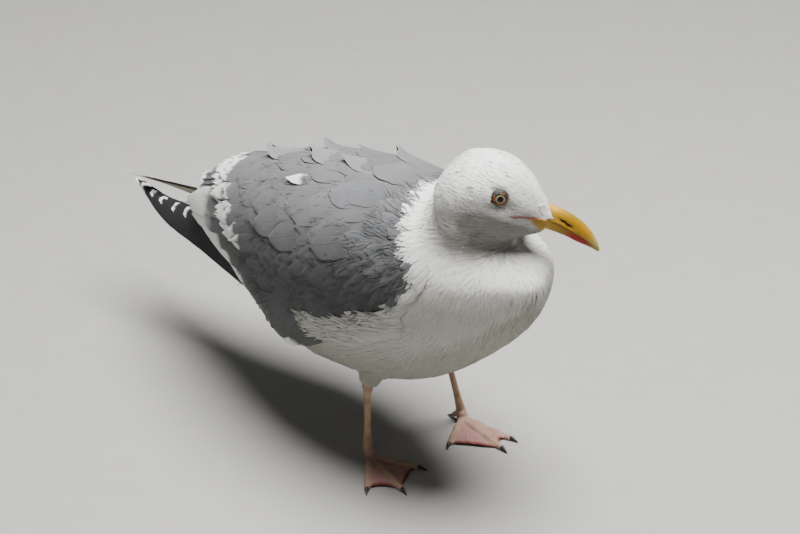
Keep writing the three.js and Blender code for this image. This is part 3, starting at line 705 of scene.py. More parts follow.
def on_cloak(side, y, angle):
    """A place on the folded wing's outer form, at an angle in degrees from the top of the back."""
    centre, half, rise, drop = (curve(y) for curve in cloak_sizes[:4])
    turn = np.radians(angle)
    height = np.where(np.cos(turn) > 0, rise, drop)
    return body_point(side * np.sin(turn) * half, y, centre + np.cos(turn) * height)


def lie_of_wing(points):
    """Direction of growth on mantle and wing: away from a source over the shoulder."""
    body = in_body(points)
    side = np.sign(body[:, 0])
    source = np.stack([50 * side, np.full(len(body), -95.0), np.full(len(body), 215.0)], -1)
    lie = unit(body - source)
    top = 1 - ease(np.abs(body[:, 0]), 5, 30)
    return unit(blend(lie, np.array([0.0, 1.0, -0.12]), top))


def dressed(path, normals, roots, half, low, high, seed, shape=PLUME, camber=0.2, tips=None, ruffle=0.3, curl=0.0,
            roll=0.0, ragged=0.0, colour=MANTLE_GREY, across=(-1, -0.55, 0, 0.55, 1)):
    """Contour and flight feathers over given paths: wide rounded vanes, paler at the rim and darker at the root,
    each a shade apart from its neighbours. `tips` gives the share along a feather from which it is white."""
    rng = np.random.default_rng(seed + 1)
    rows, count = len(shape), len(path)
    v = np.linspace(0, 1, rows)
    raised = 1 + ruffle * (0.6 * ripple(roots, 24, seed + 2) + 0.7 * rng.normal(size=count))
    high = np.broadcast_to(high, count) * np.clip(raised, 0.45, 2.6)
    low = np.broadcast_to(low, count)[:, None]
    lift = low + (high[:, None] - low) * v ** 1.1 + np.broadcast_to(curl, count)[:, None] * v ** 5
    width = (np.broadcast_to(half, count) * rng.uniform(0.92, 1.08, count))[:, None] * shape
    points, faces, place, soft = vanes(path, normals, width, camber, lift, across, 0.02, seed, roll, ragged)
    u = np.abs(np.array(across))
    rim = np.maximum(ease(v, 0.86, 1.0)[:, None], 0.7 * ease(u, 0.55, 1.0)[None] * ease(v, 0.3, 0.7)[:, None])
    shade = rng.uniform(0.90, 1.10, (count, 1, 1))
    tone_shift = rng.random((count, 1, 1)) * 0.5
    tint = colour * np.concatenate([shade * (1 + 0.06 * tone_shift), shade, shade * (1 - 0.08 * tone_shift)], -1)
    # Painted shade: darker towards the wing's lower edge.
    tint = tint * painted_wing_shade(roots)[:, None, None]
    tint = tint[:, None] * (0.80 + 0.20 * ease(v, 0.15, 0.6))[:, None, None]
    tint = tint * (1 + 0.10 * rim)[..., None]
    if tips is not None:
        start = np.broadcast_to(tips, count)[:, None, None] + 0.03 * ripple(points / 6, 1.3, seed + 3)
        white = ease(v[:, None] + 0.06 * u - start, -0.02, 0.03)
        tint = blend(tint, WHITE * 0.98, white)
    tint = np.broadcast_to(tint, points.shape)
    return points, faces, place, soft, tint, roots


def grey_feathers(ground, roots, length, half, low, high, sway, seed, shape=PLUME, **finish):
    """Grey feathers scattered over the skin, each along the lie of the wing."""
    vary = np.random.default_rng(seed).uniform(0.9, 1.1, len(roots))
    path, normals = paths(ground, roots, np.broadcast_to(length, len(roots)) * vary, len(shape), sway, seed, lie_of_wing)
    return dressed(path, normals, roots, half, low, high, seed, shape, **finish)


def folded(side, start, end, half, low, high, seed, shape=PLUME, bow=0.0, sunk=3.4, **finish):
    """Feathers laid over the folded wing's outer form, each from its root's (y, angle) straight to its tip's,
    bowed by `bow` degrees in the middle and sunk under the form by `sunk`."""
    t = np.linspace(0, 1, len(shape))
    y, angle = (start[:, k, None] + (end[:, k] - start[:, k])[:, None] * t for k in (0, 1))
    angle = angle + bow * np.sin(np.pi * t)
    path = on_cloak(side, y, angle)
    ahead = on_cloak(side, y + 1, angle) - on_cloak(side, y - 1, angle)
    down = on_cloak(side, y, angle + 1) - on_cloak(side, y, angle - 1)
    normals = unit(np.cross(down, ahead)) * side
    normals = normals * np.sign((normals * (path - body_point(0, y, 135))).sum(-1, keepdims=True))
    return dressed(path - normals * sunk, normals, path[:, 0], half, low, high, seed, shape, **finish)


def both(make):
    """The groups of make(side) for the left and the right of the bird."""
    return [group for side in (1, -1) for group in make(side)]


def spread(y, angle, spacing, seed, radius=66.0):
    """(y, angle) roots over a rectangle in staggered rows about `spacing` mm apart, a little out of line."""
    rng = np.random.default_rng(seed)
    step = np.degrees(spacing / radius)
    rows, columns = np.meshgrid(np.arange(y[0], y[1], spacing * 0.82), np.arange(angle[0], angle[1], step), indexing="ij")
    columns = columns + step / 2 * (np.arange(len(rows)) % 2)[:, None]
    places = np.stack([rows.ravel(), columns.ravel()], -1)
    return places + rng.normal(size=places.shape) * (0.16 * spacing, 0.16 * step)


def between(first, last, count, jitter=0.0, seed=0):
    """`count` (y, angle) places in a line from `first` to `last`, a little out of line."""
    t = np.linspace(0, 1, count)[:, None]
    line = np.array(first, float) * (1 - t) + np.array(last, float) * t
    return line + jitter * np.random.default_rng(seed).normal(size=line.shape)


def on_head(points):
    """Above the plane that parts head from neck, and no further forward or lower than the face."""
    along, _, up = to_head(points)
    return (nape_height(points) > -6) & (along < 44) & (up > -33) & (off_head(points) < 0.5)


def bill_bare(points):
    """True on the horn at the bill's base: before a line that slants back to the gape below the cutting edge,
    and before one that slants back to the forehead above it."""
    along, side, up = to_head(points)
    below = along > np.interp(up, [-7.5, -2.5, 1.0, 2.6], [36.0, 30.5, 23.5, 18.0])
    above = along > np.interp(up, [2.6, 5.0, 12.3], [36.0, 39.5, 32.6])
    return (np.abs(side) > 2.0) & (up > -7.5) & np.where(up < 2.6, below, above) & (up < 16)


def bill_feathering(ground):
    """Short feathers on the sides of the bill's root, in a wedge that reaches forward above the cutting edge:
    each runs straight back from its root, over the wider of bill and face."""
    rng = np.random.default_rng(46)
    count = 900
    up = 2.9 + 9.6 * rng.beta(1.0, 1.3, count)
    root = np.interp(up, [2.6, 5.0, 12.3], [36.0, 40.5, 33.0]) - rng.uniform(0, 5, count)
    side = np.where(np.arange(count) % 2, 1.0, -1.0)[:, None]
    along = root[:, None] - np.linspace(0, 2.6, len(TUFT)) * rng.uniform(0.8, 1.2, (count, 1))
    up = up[:, None] + 0 * along
    culmen, keel, half = (curve(along) for curve in bill_sizes)
    level = 0.55 * keel + 0.45 * culmen
    share = np.clip((up - level) / (culmen - level), -0.98, 0.98)
    bill_out = half * (1 - np.abs(share) ** 2.1) ** (1 / 2.1)
    near, _ = ground.press(from_head(along, side * face_side(along, up), up).reshape(-1, 3))
    face_out = np.abs(to_head(near)[1]).reshape(along.shape) * (along < 38)
    path = from_head(along, side * np.maximum(bill_out, face_out), up)
    steep = (bill_out / half ** 2)[..., None] * HEAD_LEFT * side[..., None]
    normals = unit(steep + (share / (culmen - level))[..., None] * HEAD_UP)
    lift = 0.08 + np.linspace(0, 0.42, len(TUFT)) + 0 * along
    width = rng.uniform(0.4, 0.6, (count, 1)) * TUFT
    points, faces, place, soft = vanes(path, normals, width, 0.1, lift, (-1, 0, 1), 0.12, 47)
    tint = plumage(path[:, 0])[:, None, None] * rng.uniform(0.74, 1.0, (count, 1, 1, 1))
    return points, faces, place, soft, np.broadcast_to(tint, points.shape), path[:, 0]


def head_coat(ground):
    def face(p):
        clear = (eye_distance(p) > 4.9) & (gape_distance(p) > 1.0) & ~bill_bare(p)
        clear = clear & (eye_distance(p - 3.0 * HEAD_FORWARD) > 4.9) & (eye_distance(p - 5.5 * HEAD_FORWARD) > 4.3)
        return clear & on_head(p) & (to_head(p)[0] > -8)

    def crown(p):
        return on_head(p) & (to_head(p)[0] <= -6)

    fore = ground.scatter(1.15, face, 11)
    rear = ground.scatter(1.6, crown, 12)
    near_bill = ease(to_head(fore)[0], 4, 34)
    groups = [
        tufts(ground, fore, 5.8 - 2.6 * near_bill, 0.68 - 0.20 * near_bill, 0.25 - 0.15 * near_bill,
              0.85 - 0.45 * near_bill, 0.09, 21, TUFT, camber=0.1, streak=0.13, wisps=0.01),
        tufts(ground, rear, 8.5, 0.98, 0.4, 1.15, 0.10, 22, TUFT, camber=0.1, streak=0.08, wisps=0.01),
        bill_feathering(ground)]
    return coat("head_coat", groups)


def is_white(points):
    return grey_share(points) < 0.5


def thigh_near(points):
    """Close to a lower thigh's axis."""
    near = np.zeros(len(points), bool)
    for name in SIDES:
        low = HOCKS[name]
        t = np.clip((points - low) @ THIGH_RISE[name] / (THIGH_RISE[name] @ THIGH_RISE[name]), 0, 1)
        near |= np.linalg.norm(points - low - t[:, None] * THIGH_RISE[name], axis=1) < 6 + 13 * t
    return near & (points[:, 2] < 100)


def neck_coat(ground):
    def neck(p):
        body = in_body(p)
        return ~(on_head(p) & (nape_height(p) > -2)) & is_white(p) & (body[:, 2] + 0.35 * body[:, 1] > 140)

    def fringe(p):
        before = in_body(p)[:, 1] - grey_front(body_angle(p))
        return (np.abs(before + 4) < 5) & (body_angle(p) < 106)

    roots = ground.scatter(2.2, neck, 13)
    edge = ground.scatter(2.3, fringe, 213)
    broad = ground.scatter(4.0, lambda p: neck(p) & (nape_height(p) < -5), 113)
    groups = [
        tufts(ground, broad, 14.0, 3.6, 0.4, 0.9, 0.06, 123, SOFT, camber=0.06, wisps=0.0, uneven=0.3),
        tufts(ground, roots, 12.5, 1.15, 1.0, 1.65, 0.09, 23, camber=0.08, wisps=0.0, uneven=0.6),
        tufts(ground, edge, 13.0, 1.8, 2.0, 2.8, 0.14, 223, SOFT, camber=0.06, wisps=0.0, uneven=0.5)]
    return coat("neck_coat", groups)


def breast_coat(ground):
    def breast(p):
        body = in_body(p)
        lower = body[:, 2] + 0.35 * body[:, 1] <= 142
        return lower & is_white(p) & (body[:, 1] < 20) & ~thigh_near(p)

    roots = ground.scatter(2.55, breast, 14)
    broad = ground.scatter(4.6, breast, 114)
    groups = [
        tufts(ground, broad, 17.0, 4.2, 0.4, 1.0, 0.06, 124, SOFT, camber=0.06, wisps=0.0, uneven=0.3),
        tufts(ground, roots, 14.0, 1.2, 1.0, 1.75, 0.10, 24, camber=0.08, wisps=0.0, uneven=0.6)]
    return coat("breast_coat", groups)


def belly_coat(ground):
    def belly(p):
        body = in_body(p)
        roofed = (body[:, 1] > 150) & (body[:, 2] > 113)
        return is_white(p) & (body[:, 1] >= 18) & ~thigh_near(p) & ~roofed

    def flank(p):
        body = in_body(p)
        angle = body_angle(p)
        edge = grey_low(body[:, 1])
        return (np.abs(angle - edge - 8) < 8) & (body[:, 1] > -62) & (body[:, 1] < 34)

    roots = ground.scatter(3.2, belly, 15)
    broad = ground.scatter(5.2, belly, 115)
    side_roots = ground.scatter(2.0, flank, 16)
    side_broad = ground.scatter(3.8, flank, 116)
    thigh_roots = ground.scatter(1.6, thigh_near, 17)
    groups = [
        tufts(ground, broad, 20.0, 4.8, 0.5, 1.1, 0.06, 125, SOFT, camber=0.06, wisps=0.0, uneven=0.3),
        tufts(ground, roots, 17.0, 1.45, 1.0, 1.7, 0.09, 25, camber=0.08, wisps=0.0, uneven=0.6),
        tufts(ground, side_broad, 17.0, 3.2, 2.0, 3.6, 0.08, 126, SOFT, camber=0.06, wisps=0.0, uneven=0.3),
        tufts(ground, side_roots, 15.0, 0.9, 2.6, 4.1, 0.13, 26, camber=0.1, wisps=0.0, uneven=0.6),
        tufts(ground, thigh_roots, 8.0, 1.0, 0.7, 1.6, 0.14, 27, wisps=0.02)]
    return coat("belly_coat", groups)


def strands(ground, inside, spacing, length, half, low, high, sway, seed):
    """Loose barbs over the grey: hair-fine lancets a shade off their surroundings."""
    roots = ground.scatter(spacing, inside, seed)
    group = list(tufts(ground, roots, length, half, low, high, sway, seed, camber=0.3, wisps=0.04, lie_at=lie_of_wing))
    rng = np.random.default_rng(seed + 7)
    group[4] = group[4] * rng.uniform(0.82, 1.22, (len(roots), 1, 1, 1))
    return tuple(group)


def mantle_coat(ground):
    def mantle(p):
        body = in_body(p)
        return (grey_share(p) >= 0.4) & (body[:, 1] < 30) & ((body_angle(p) < 106) | (body[:, 1] > -38))

    roots = ground.scatter(5.0, mantle, 18)
    small = ease(in_body(roots)[:, 1], -70, 10)
    groups = [
        grey_feathers(ground, roots, 15 + 8 * small, 3.8 + 2.4 * small, 1.5, 2.7, 0.20, 28, camber=0.08, ragged=0.8)]
    return coat("mantle_coat", groups)


def barb_coat(ground, name):
    """Fine loose barbs over one wing and its half of the mantle."""
    side = SIDES[name]

    def wing(p):
        body = in_body(p)
        return (grey_share(p) >= 0.6) & (body[:, 1] < 150) & (body[:, 0] * side > 0)

    return coat(f"barb_coat_{name}", [strands(ground, wing, 3.1, 13.0, 0.26, 2.7, 3.5, 0.24, 29)])


BLOWN = outline(0.5, 0.8, 0.95, 1.0, 1.0, 0.95, 0.86, 0.72, 0.54, 0.34, 0.14)
WIDE = (-1, -0.72, -0.36, 0, 0.36, 0.72, 1)
TERTIAL = outline(0.5, 0.72, 0.86, 0.95, 1.0, 1.0, 1.0, 1.0, 1.0, 0.99, 0.96, 0.9, 0.78, 0.55, 0.3)


def scapulars(side):
    """Big soft scapulars over the back and the wing's upper half, the hindmost ones tipped white."""
    start = spread((-14, 132), (4, 66), 12.0, 31)
    start = start[start[:, 1] < 64 - 0.05 * start[:, 0]]
    down = np.radians(6 + 0.16 * start[:, 1])
    end = start + 42 * np.stack([np.cos(down), np.degrees(np.sin(down) / 66)], -1)
    crest = 1 - ease(start[:, 1], 8, 26)
    groups = [folded(side, start, end, 11.5, 1.9, 3.1 + 0.8 * crest, 32, SCAPULAR, across=WIDE, camber=0.08, ruffle=0.25,
                     ragged=1.2)]
    # Blown feathers standing up from the back, painted paler than the mantle grey and paler still on the right: painted
    # light for the light that shows through raised feathers.
    blown = np.array({1: [[114, 10], [48, 18], [80, 16]], -1: [[163, 7], [106, 9], [62, 9]]}[side], float)
    curl = {1: [9.0, 9.0, 3.0], -1: [13.0, 11.0, 5.0]}[side]
    groups.append(folded(side, blown - (56, 2), blown, 11.0, 2.4, 4.6, 40, BLOWN, across=WIDE, camber=0.10,
                         ruffle=0.1, curl=np.array(curl), ragged=2.4, colour=MANTLE_GREY * (1.3 - 0.15 * side)))
    count = 30
    angle = np.linspace(6, 87, count)
    edge = through((7, 211), (25, 206), (42, 200), (58, 187), (68, 176), (77, 164), (86, 150))(angle)
    jitter = np.random.default_rng(33).normal(size=(2, count, 2)) * (2.6, 1.2)
    for k, back in enumerate((12, 0)):
        tip = np.stack([edge - back, angle + k], -1) + jitter[k]
        roots = tip - np.stack([np.full(count, 44.0), 2 + 0.09 * angle], -1)
        groups.append(folded(side, roots, tip, 6.8, 1.9, 4.2 + 0.7 * k, 36 + k, SCAPULAR, across=WIDE, camber=0.08,
                             ruffle=0.25, tips=0.80 - 0.06 * k, ragged=3.6))
    spot = np.array([[66.0, 31.0]])
    groups.append(folded(side, spot, spot + (27, 3), 4.6, 3.0, 6.6, 39, PLUME, tips=0.45, ragged=1.0))
    return groups


def coverts(side):
    """Median coverts in staggered rows, then the greater coverts over the secondaries' bases."""
    start = spread((-6, 92), (60, 122), 9.0, 51)
    y, angle = start.T
    start = start[(angle > 58 - 0.05 * y) & (angle < 112 + 0.12 * y) & (y < 96 - 0.62 * (angle - 60))]
    down = np.radians(14 + 0.1 * (start[:, 1] - 60))
    end = start + 25 * np.stack([np.cos(down), np.degrees(np.sin(down) / 72)], -1)
    above = end[:, 1] < grey_low(end[:, 0]) + 2
    start, end = start[above], end[above]
    roots = between((22, 113), (104, 62), 13, 0.8, 53)
    tips = roots + between((46, 10), (52, 14), 13, 1.0, 54)
    return [
        folded(side, start, end, 7.4, 1.4, 3.0, 52, PLUME, ruffle=0.3, camber=0.09, ragged=1.2),
        folded(side, roots, tips, 8.6, 1.0, 2.6, 55, SCAPULAR, across=WIDE, camber=0.08, roll=0.08 * side, ragged=1.0)]


def secondaries(side):
    """Secondaries whose white tips line the wing's lower and hind edge."""
    roots = between((8, 117), (128, 76), 13, 0.5, 61)
    reach = np.linspace(0, 1, 13)
    edge_y = 76 + 126 * reach
    low = cloak_sizes[6](edge_y) - 2.0 - 1.0 * reach
    tips = np.stack([edge_y, low], -1)
    return [folded(side, roots, tips, 9.2, 0.2, 1.9, 62, TERTIAL, across=WIDE, camber=0.09, roll=0.09 * side,
                   tips=0.85, ruffle=0.15, ragged=1.5, sunk=3.6)]


def tertials(side):
    """Five broad tertials roofing the wing's end, with wide white tips in a crescent."""
    roots = between((70, 104), (116, 58), 5, 0.8, 71)
    tips = np.array([[166, 112], [190, 106], [212, 98], [230, 88], [241, 75]], float)
    high = np.array([2.7, 3.0, 3.3, 3.6, 3.9])
    # Under them, six inner tertials painted at under half the mantle's grey: painted shade under the wing's end.
    inner, far = between((146, 58), (160, 10), 6), between((234, 60), (246, 14), 6)
    return [
        folded(side, roots, tips, 12.5, 0.6, high, 72, TERTIAL, across=WIDE, camber=0.10, roll=0.08 * side,
               tips=0.72, ruffle=0.1, ragged=2.6),
        folded(side, inner, far, 9.5, 0.2, 1.2, 77, TERTIAL, across=WIDE, camber=0.08, tips=0.94, ruffle=0.1,
               ragged=2.0, sunk=4.2, colour=MANTLE_GREY * 0.45)]


def wing_coat(name):
    side = SIDES[name]
    groups = secondaries(side) + coverts(side) + tertials(side) + scapulars(side)
    thing = coat(f"wing_coat_{name}", groups)
    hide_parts(f"wing_{name}")
    return thing


# ---------------------------------------------------------------- flight feathers and tail
def on_blade(side, y, offset, layer):
    """A place on the blade of folded primaries: `offset` across it from its middle line, `layer` off its
    middle plane towards the outside."""
    out, level, _, tilt, _ = (curve(y) for curve in blade_sizes)
    slope = np.radians(tilt)
    centre = body_point(side * out, y, level + side * tip_rise(y))
    flat = np.stack([-side * np.sin(slope), np.zeros_like(y), np.cos(slope)], -1)
    outer = np.stack([side * np.cos(slope), np.zeros_like(y), np.sin(slope)], -1)
    return centre + flat * np.asarray(offset)[..., None] + outer * np.asarray(layer)[..., None], outer


PRIMARY = outline(0.8, 0.9, 0.95, 1.0, 1.0, 1.0, 1.0, 1.0, 1.0, 0.98, 0.95, 0.92, 0.88, 0.83, 0.76, 0.66, 0.5, 0.3)


def primaries(name):
    """Seven primaries a side in a staggered stack, black with white tips and mirrors, the longest innermost;
    their inner faces are sooty brown with paler webs."""
    side = SIDES[name]
    v = 1 - (1 - np.linspace(0, 1, 34)) ** 1.7
    shape = np.interp(v, np.linspace(0, 1, len(PRIMARY)), PRIMARY)
    short = np.array([0, 13, 30, 50, 72, 94, 116], float)
    ends = WING_TIP - short
    y = 120 + (ends[:, None] - 120) * v
    _, _, reach, _, thick = (curve(y) for curve in blade_sizes)
    stack = np.linspace(0, 1, 7)[:, None]
    offset = reach * (-0.36 + 0.70 * stack) * (1 - 0.6 * ease(v, 0.75, 1.0) * (stack < 0.1))
    groups = []
    for inner in (0, 1):
        layer = thick * (stack - 0.5) * 0.8 + (0.35 - 0.7 * inner)
        path, outer = on_blade(side, y, offset * (1 - 0.25 * inner), layer)
        normals = outer * (1 - 2 * inner)
        half = np.minimum(10.5, reach * 0.78 + 1.5) * shape
        points, faces, place, soft = vanes(
            path, normals, half, 0.05, np.zeros_like(y), WIDE, 0.012, 81 + inner, 0.0, 1.2)
        u = np.array(WIDE)
        far = ((1 - v) * (ends[:, None] - 120))[..., None] + 0 * u
        ragged = 1.3 * ripple(points / 6, 1.1, 83)
        tip = 1 - ease(far + 1.1 * ragged - 4.2 * np.abs(u), 1.8, 3.2)
        mirror = ease(far + ragged, 13, 15) * (1 - ease(far + ragged, 22, 25)) * (np.arange(7) < 1)[:, None, None]
        mirror = mirror * (1 - inner)
        base = SOOT if not inner else np.array([0.05, 0.047, 0.036])
        web = inner * ease(u, -0.2, 0.7) * (1 - ease(v, 0.75, 0.95))[:, None]
        tint = blend(np.broadcast_to(base, points.shape), np.array([0.22, 0.21, 0.15]), np.broadcast_to(web, far.shape))
        tint = blend(tint, WHITE * 0.95, np.clip(tip + mirror, 0, 1))
        groups.append((points, faces, place, soft, tint, path[:, 0]))
    thing = coat(f"primaries_coat_{name}", groups)
    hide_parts(f"primaries_{name}")
    return thing


def tail_feathers():
    """Twelve tail feathers fanned over one another and square at their ends, each as an upper and a lower vane."""
    count, shape = 12, QUILL[:-1]
    fan = np.linspace(-1, 1, count)[:, None]
    v = np.linspace(0, 1, len(shape))
    y = 150 + (287 - 150 - 5 * np.abs(fan)) * v
    top, half, thick = (curve(y) for curve in tail_sizes)
    lean = 6 * ease(y, 200, 288)
    groups = []
    for under in (0, 1):
        stack = (1 - np.abs(fan)) * 0.9
        level = top - 0.6 + stack if not under else top - thick + 0.5 - stack * 0.3
        path = body_point(lean + fan * (half - 5.5), y, level)
        normals = np.broadcast_to(np.array([0, 0, 1.0 - 2 * under]), path.shape)
        points, faces, place, soft = vanes(
            path, normals, 6.6 * shape[None] + 0 * y, 0.06, np.zeros_like(y), WIDE, 0.01, 91 + under, 0.0, 0.8)
        # The lower vanes are a shade darker: painted shade on the tail's underside.
        tint = np.broadcast_to(WHITE * 0.97, points.shape) * (1 - 0.05 * under)
        groups.append((points, faces, place, soft, tint, path[:, 0]))
    thing = coat("tail_coat", groups)
    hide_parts("tail")
    return thing


# ---------------------------------------------------------------- legs and feet
LEG_TAN = np.array([0.42, 0.27, 0.165])
TOE_PINK = np.array([0.36, 0.235, 0.18])
WEB_PINK = np.array([0.35, 0.185, 0.170])
WEB_EDGE = np.array([0.16, 0.035, 0.025])


def on_foot(name, spread_angle, distance, height):
    """A place on a foot: `distance` from the toe joint at an angle in degrees from the middle toe."""
    side = SIDES[name]
    turn = np.radians(spread_angle) * -side
    x, y = np.sin(turn) * distance, -np.cos(turn) * distance
    step = np.radians(STEPS[name][0])
    x, y = x * np.cos(step) - y * np.sin(step), x * np.sin(step) + y * np.cos(step)
    x, y, height = np.broadcast_arrays(x + side * STANCE, y, height)
    return np.stack([x, y, height], -1).astype(float)


def grounded(shape):
    points, faces = shape
    points = points.copy()
    points[:, 2] = np.maximum(points[:, 2], 0)
    return points, faces


def toe_form(name, toe):
    """Toe: superellipse rings from the joint to the claw, swelling three times over its joints."""
    angle, length = STEPS[name][1][toe], TOE_LENGTHS[toe]
    s = cosine_steps(-5, length, 60)
    knuckle = 1 + 0.1 * np.cos(s / length * 6 * np.pi)
    pads = 0.12 * np.maximum(0, np.sin(s / length * 3 * np.pi)) ** 2
    taper = swell(s + 5, 5) * swell(length - s, 4)
    share = np.maximum(s, 0) / length
    half = (3.7 - 1.5 * share) * knuckle * taper
    tall = (3.6 - 1.5 * share) * knuckle * (0.4 + 0.6 * taper)
    centre = on_foot(name, angle, s, tall * 0.62)
    across = on_foot(name, angle + 90, 1, 0) - on_foot(name, angle, 0, 0)
    up = np.array([[0, 0, 1.0]])
    rings = ellipse_rings(centre, across[None], up, half, tall, tall * (1 + pads), 20, 2.2)
    return grounded(outward(*closed(rings)))


def web_reach(share):
    return 1 - 0.10 * np.sin(np.pi * share) ** 1.2


def web_form(name, toe):
    """Web between the middle toe and its neighbour: a thin sheet, arched a little between them, whose front
    edge curves back."""
    angle = STEPS[name][1][toe]
    share = np.linspace(0, 1, 30)[:, None]
    radial = np.linspace(0, 1, 26)[None]
    tip = 52 + (TOE_LENGTHS[toe] - 52) * share
    reach = (tip - 3) * web_reach(share)
    arch = 1.6 * np.sin(np.pi * share) * np.sin(np.pi * np.minimum(1, share * 0 + radial * 0.8))
    fold = 0.25 * np.sin(np.pi * share) * np.sin(share * 26) * radial
    root = on_foot(name, 0, -1, 0)
    base = on_foot(name, 0, 0, 0)
    flat = on_foot(name, angle * share, reach * radial, 0) - base + root
    lower = flat + (arch + 0.4)[..., None] * (0, 0, 1)
    upper = flat + (arch + 1.7 + fold)[..., None] * (0, 0, 1)
    return outward(*closed(np.concatenate([upper, lower[:, ::-1]], 1)))


def round_form(centre, size):
    """Ellipsoid by latitude rings."""
    turn = np.linspace(0.02, 0.98, 16) * np.pi
    ring = np.linspace(0, 2 * np.pi, 24, endpoint=False)
    shape = np.stack([
        np.sin(turn)[:, None] * np.cos(ring), np.sin(turn)[:, None] * np.sin(ring), np.cos(turn)[:, None] + 0 * ring], -1)
    return outward(*closed(centre + shape * size))


def shank_form(name):
    """Shank: ellipse rings from the toe joint to the hock, with a scute every 2.6 mm raised at its lower edge."""
    side = SIDES[name]
    low, high = np.array([side * STANCE, 3.0, TOE_JOINT_HEIGHT + 6]), HOCKS[name]
    low = low + (low - high) * 0.09
    high = high + (high - low) * 0.06
    across, front = limb_frame(low, high)
    t = np.linspace(0, 1, 150)
    half, ahead, behind = (curve(t) for curve in shank_sizes)
    scute = (t * np.linalg.norm(high - low) / 2.6) % 1.0
    ridge = 0.22 * (1 - scute) ** 2
    taper = swell(t, 0.03) * swell(1.02 - t, 0.05)
    centres = low + (high - low) * t[:, None]
    sizes = [half * taper, ahead * taper + ridge, behind * taper]
    return outward(*closed(ellipse_rings(centres, across[None], front[None], *sizes, 24)))


def hind_toe_form(name):
    side = SIDES[name]
    t = np.linspace(0.02, 0.98, 16)
    low, high = np.array([-side * 0.8, 4.0, 7.0]), np.array([-side * 2.6, 11.0, 1.5])
    size = (2.6 - 0.7 * t) * swell(t, 0.3) * swell(1 - t, 0.3)
    local = low + (high - low) * t[:, None]
    centres = on_foot(name, 90, -side * local[:, 0], local[:, 2]) + on_foot(name, 0, -local[:, 1], 0) - on_foot(name, 0, 0, 0)
    across = on_foot(name, 90, 1, 0) - on_foot(name, 0, 0, 0)
    up = unit(np.cross(across, centres[-1] - centres[0]))
    up = up * np.sign(up[2])
    return grounded(outward(*closed(ellipse_rings(centres, across[None], up[None], size, size, size, 16))))


def leg_skin(name):
    """One leg: shank, knuckle, toes and webs melted together, and its colours by place."""
    base = on_foot(name, 0, 0, 0)
    ahead = on_foot(name, 0, 1, 0) - base
    forms = [shank_form(name), hind_toe_form(name)]
    forms += [toe_form(name, toe) for toe in TOE_LENGTHS]
    forms += [web_form(name, toe) for toe in ("inner", "outer")]
    forms += [round_form(base - ahead * 1.4 + (0, 0, 6.0), (4.3, 4.6, 5.2))]
    points, quads = melted(forms, 0.00075, 3)
    points[:, 2] = np.maximum(points[:, 2], 0)
    local = points - base
    forward = local @ ahead
    sideways = local @ (on_foot(name, 90, 1, 0) - base)
    angle = np.degrees(np.arctan2(sideways, forward))
    far = np.hypot(forward, sideways)
    gap = np.full(len(points), 99.0)
    for toe, toe_angle in STEPS[name][1].items():
        off = far * np.sin(np.radians(np.clip(angle - toe_angle, -90, 90)))
        gap = np.minimum(gap, np.abs(off))
    inner, outer = STEPS[name][1]["inner"], STEPS[name][1]["outer"]
    share = np.clip(np.where(angle > 0, angle / inner, angle / outer), 0, 1)
    tip = 52 + np.where(angle > 0, 39 - 52, 46 - 52) * share
    margin = far / ((tip - 3) * web_reach(share))
    webbed = ease(gap, 2.6, 3.6) * (points[:, 2] < 6)
    colour = blend(TOE_PINK, WEB_PINK, webbed)
    colour = blend(colour, WEB_EDGE, ease(margin, 0.88, 0.97) * webbed)
    colour = colour * (1 - 0.18 * webbed * (0.5 + 0.5 * np.sin(share * 70 + 2 * ripple(points, 9, 4))))[:, None]
    scutes = 0.5 + 0.5 * np.cos(far * 2 * np.pi / 2.3)
    colour = colour * (1 - 0.22 * scutes * (1 - webbed) * (points[:, 2] < 7))[:, None]
    upward = ease(points[:, 2], 8, 16)
    line = 0.5 + 0.5 * np.cos(points[:, 2] * 2 * np.pi / 2.6)
    tan = LEG_TAN * (1 - 0.2 * line ** 3 + 0.10 * ripple(points, 7, 8))[:, None]
    knobs = ease(points[:, 2], 56, 64)
    tan = blend(tan, TOE_PINK * 0.9, 0.5 * knobs)
    return points, quads, blend(colour, tan, upward)


# ---------------------------------------------------------------- lids and gape
LID_ORANGE = np.array([0.27, 0.085, 0.012])
GAPE_RED = np.array([0.095, 0.018, 0.010])
HORN_BASE = np.array([0.34, 0.16, 0.02])


def eye_axes(side):
    """Centre of an eyeball, its outward axis, and the forward and upward directions across it."""
    centre = from_head(EYE_PLACE[0], side * EYE_PLACE[1], EYE_PLACE[2])
    outward_axis = unit(HEAD_LEFT * side + 0.22 * HEAD_FORWARD + 0.12 * HEAD_UP)
    forward = unit(HEAD_FORWARD - outward_axis * (HEAD_FORWARD @ outward_axis))
    upward = np.cross(forward, outward_axis) * -side
    return centre, outward_axis, forward, upward * np.sign(upward @ HEAD_UP)


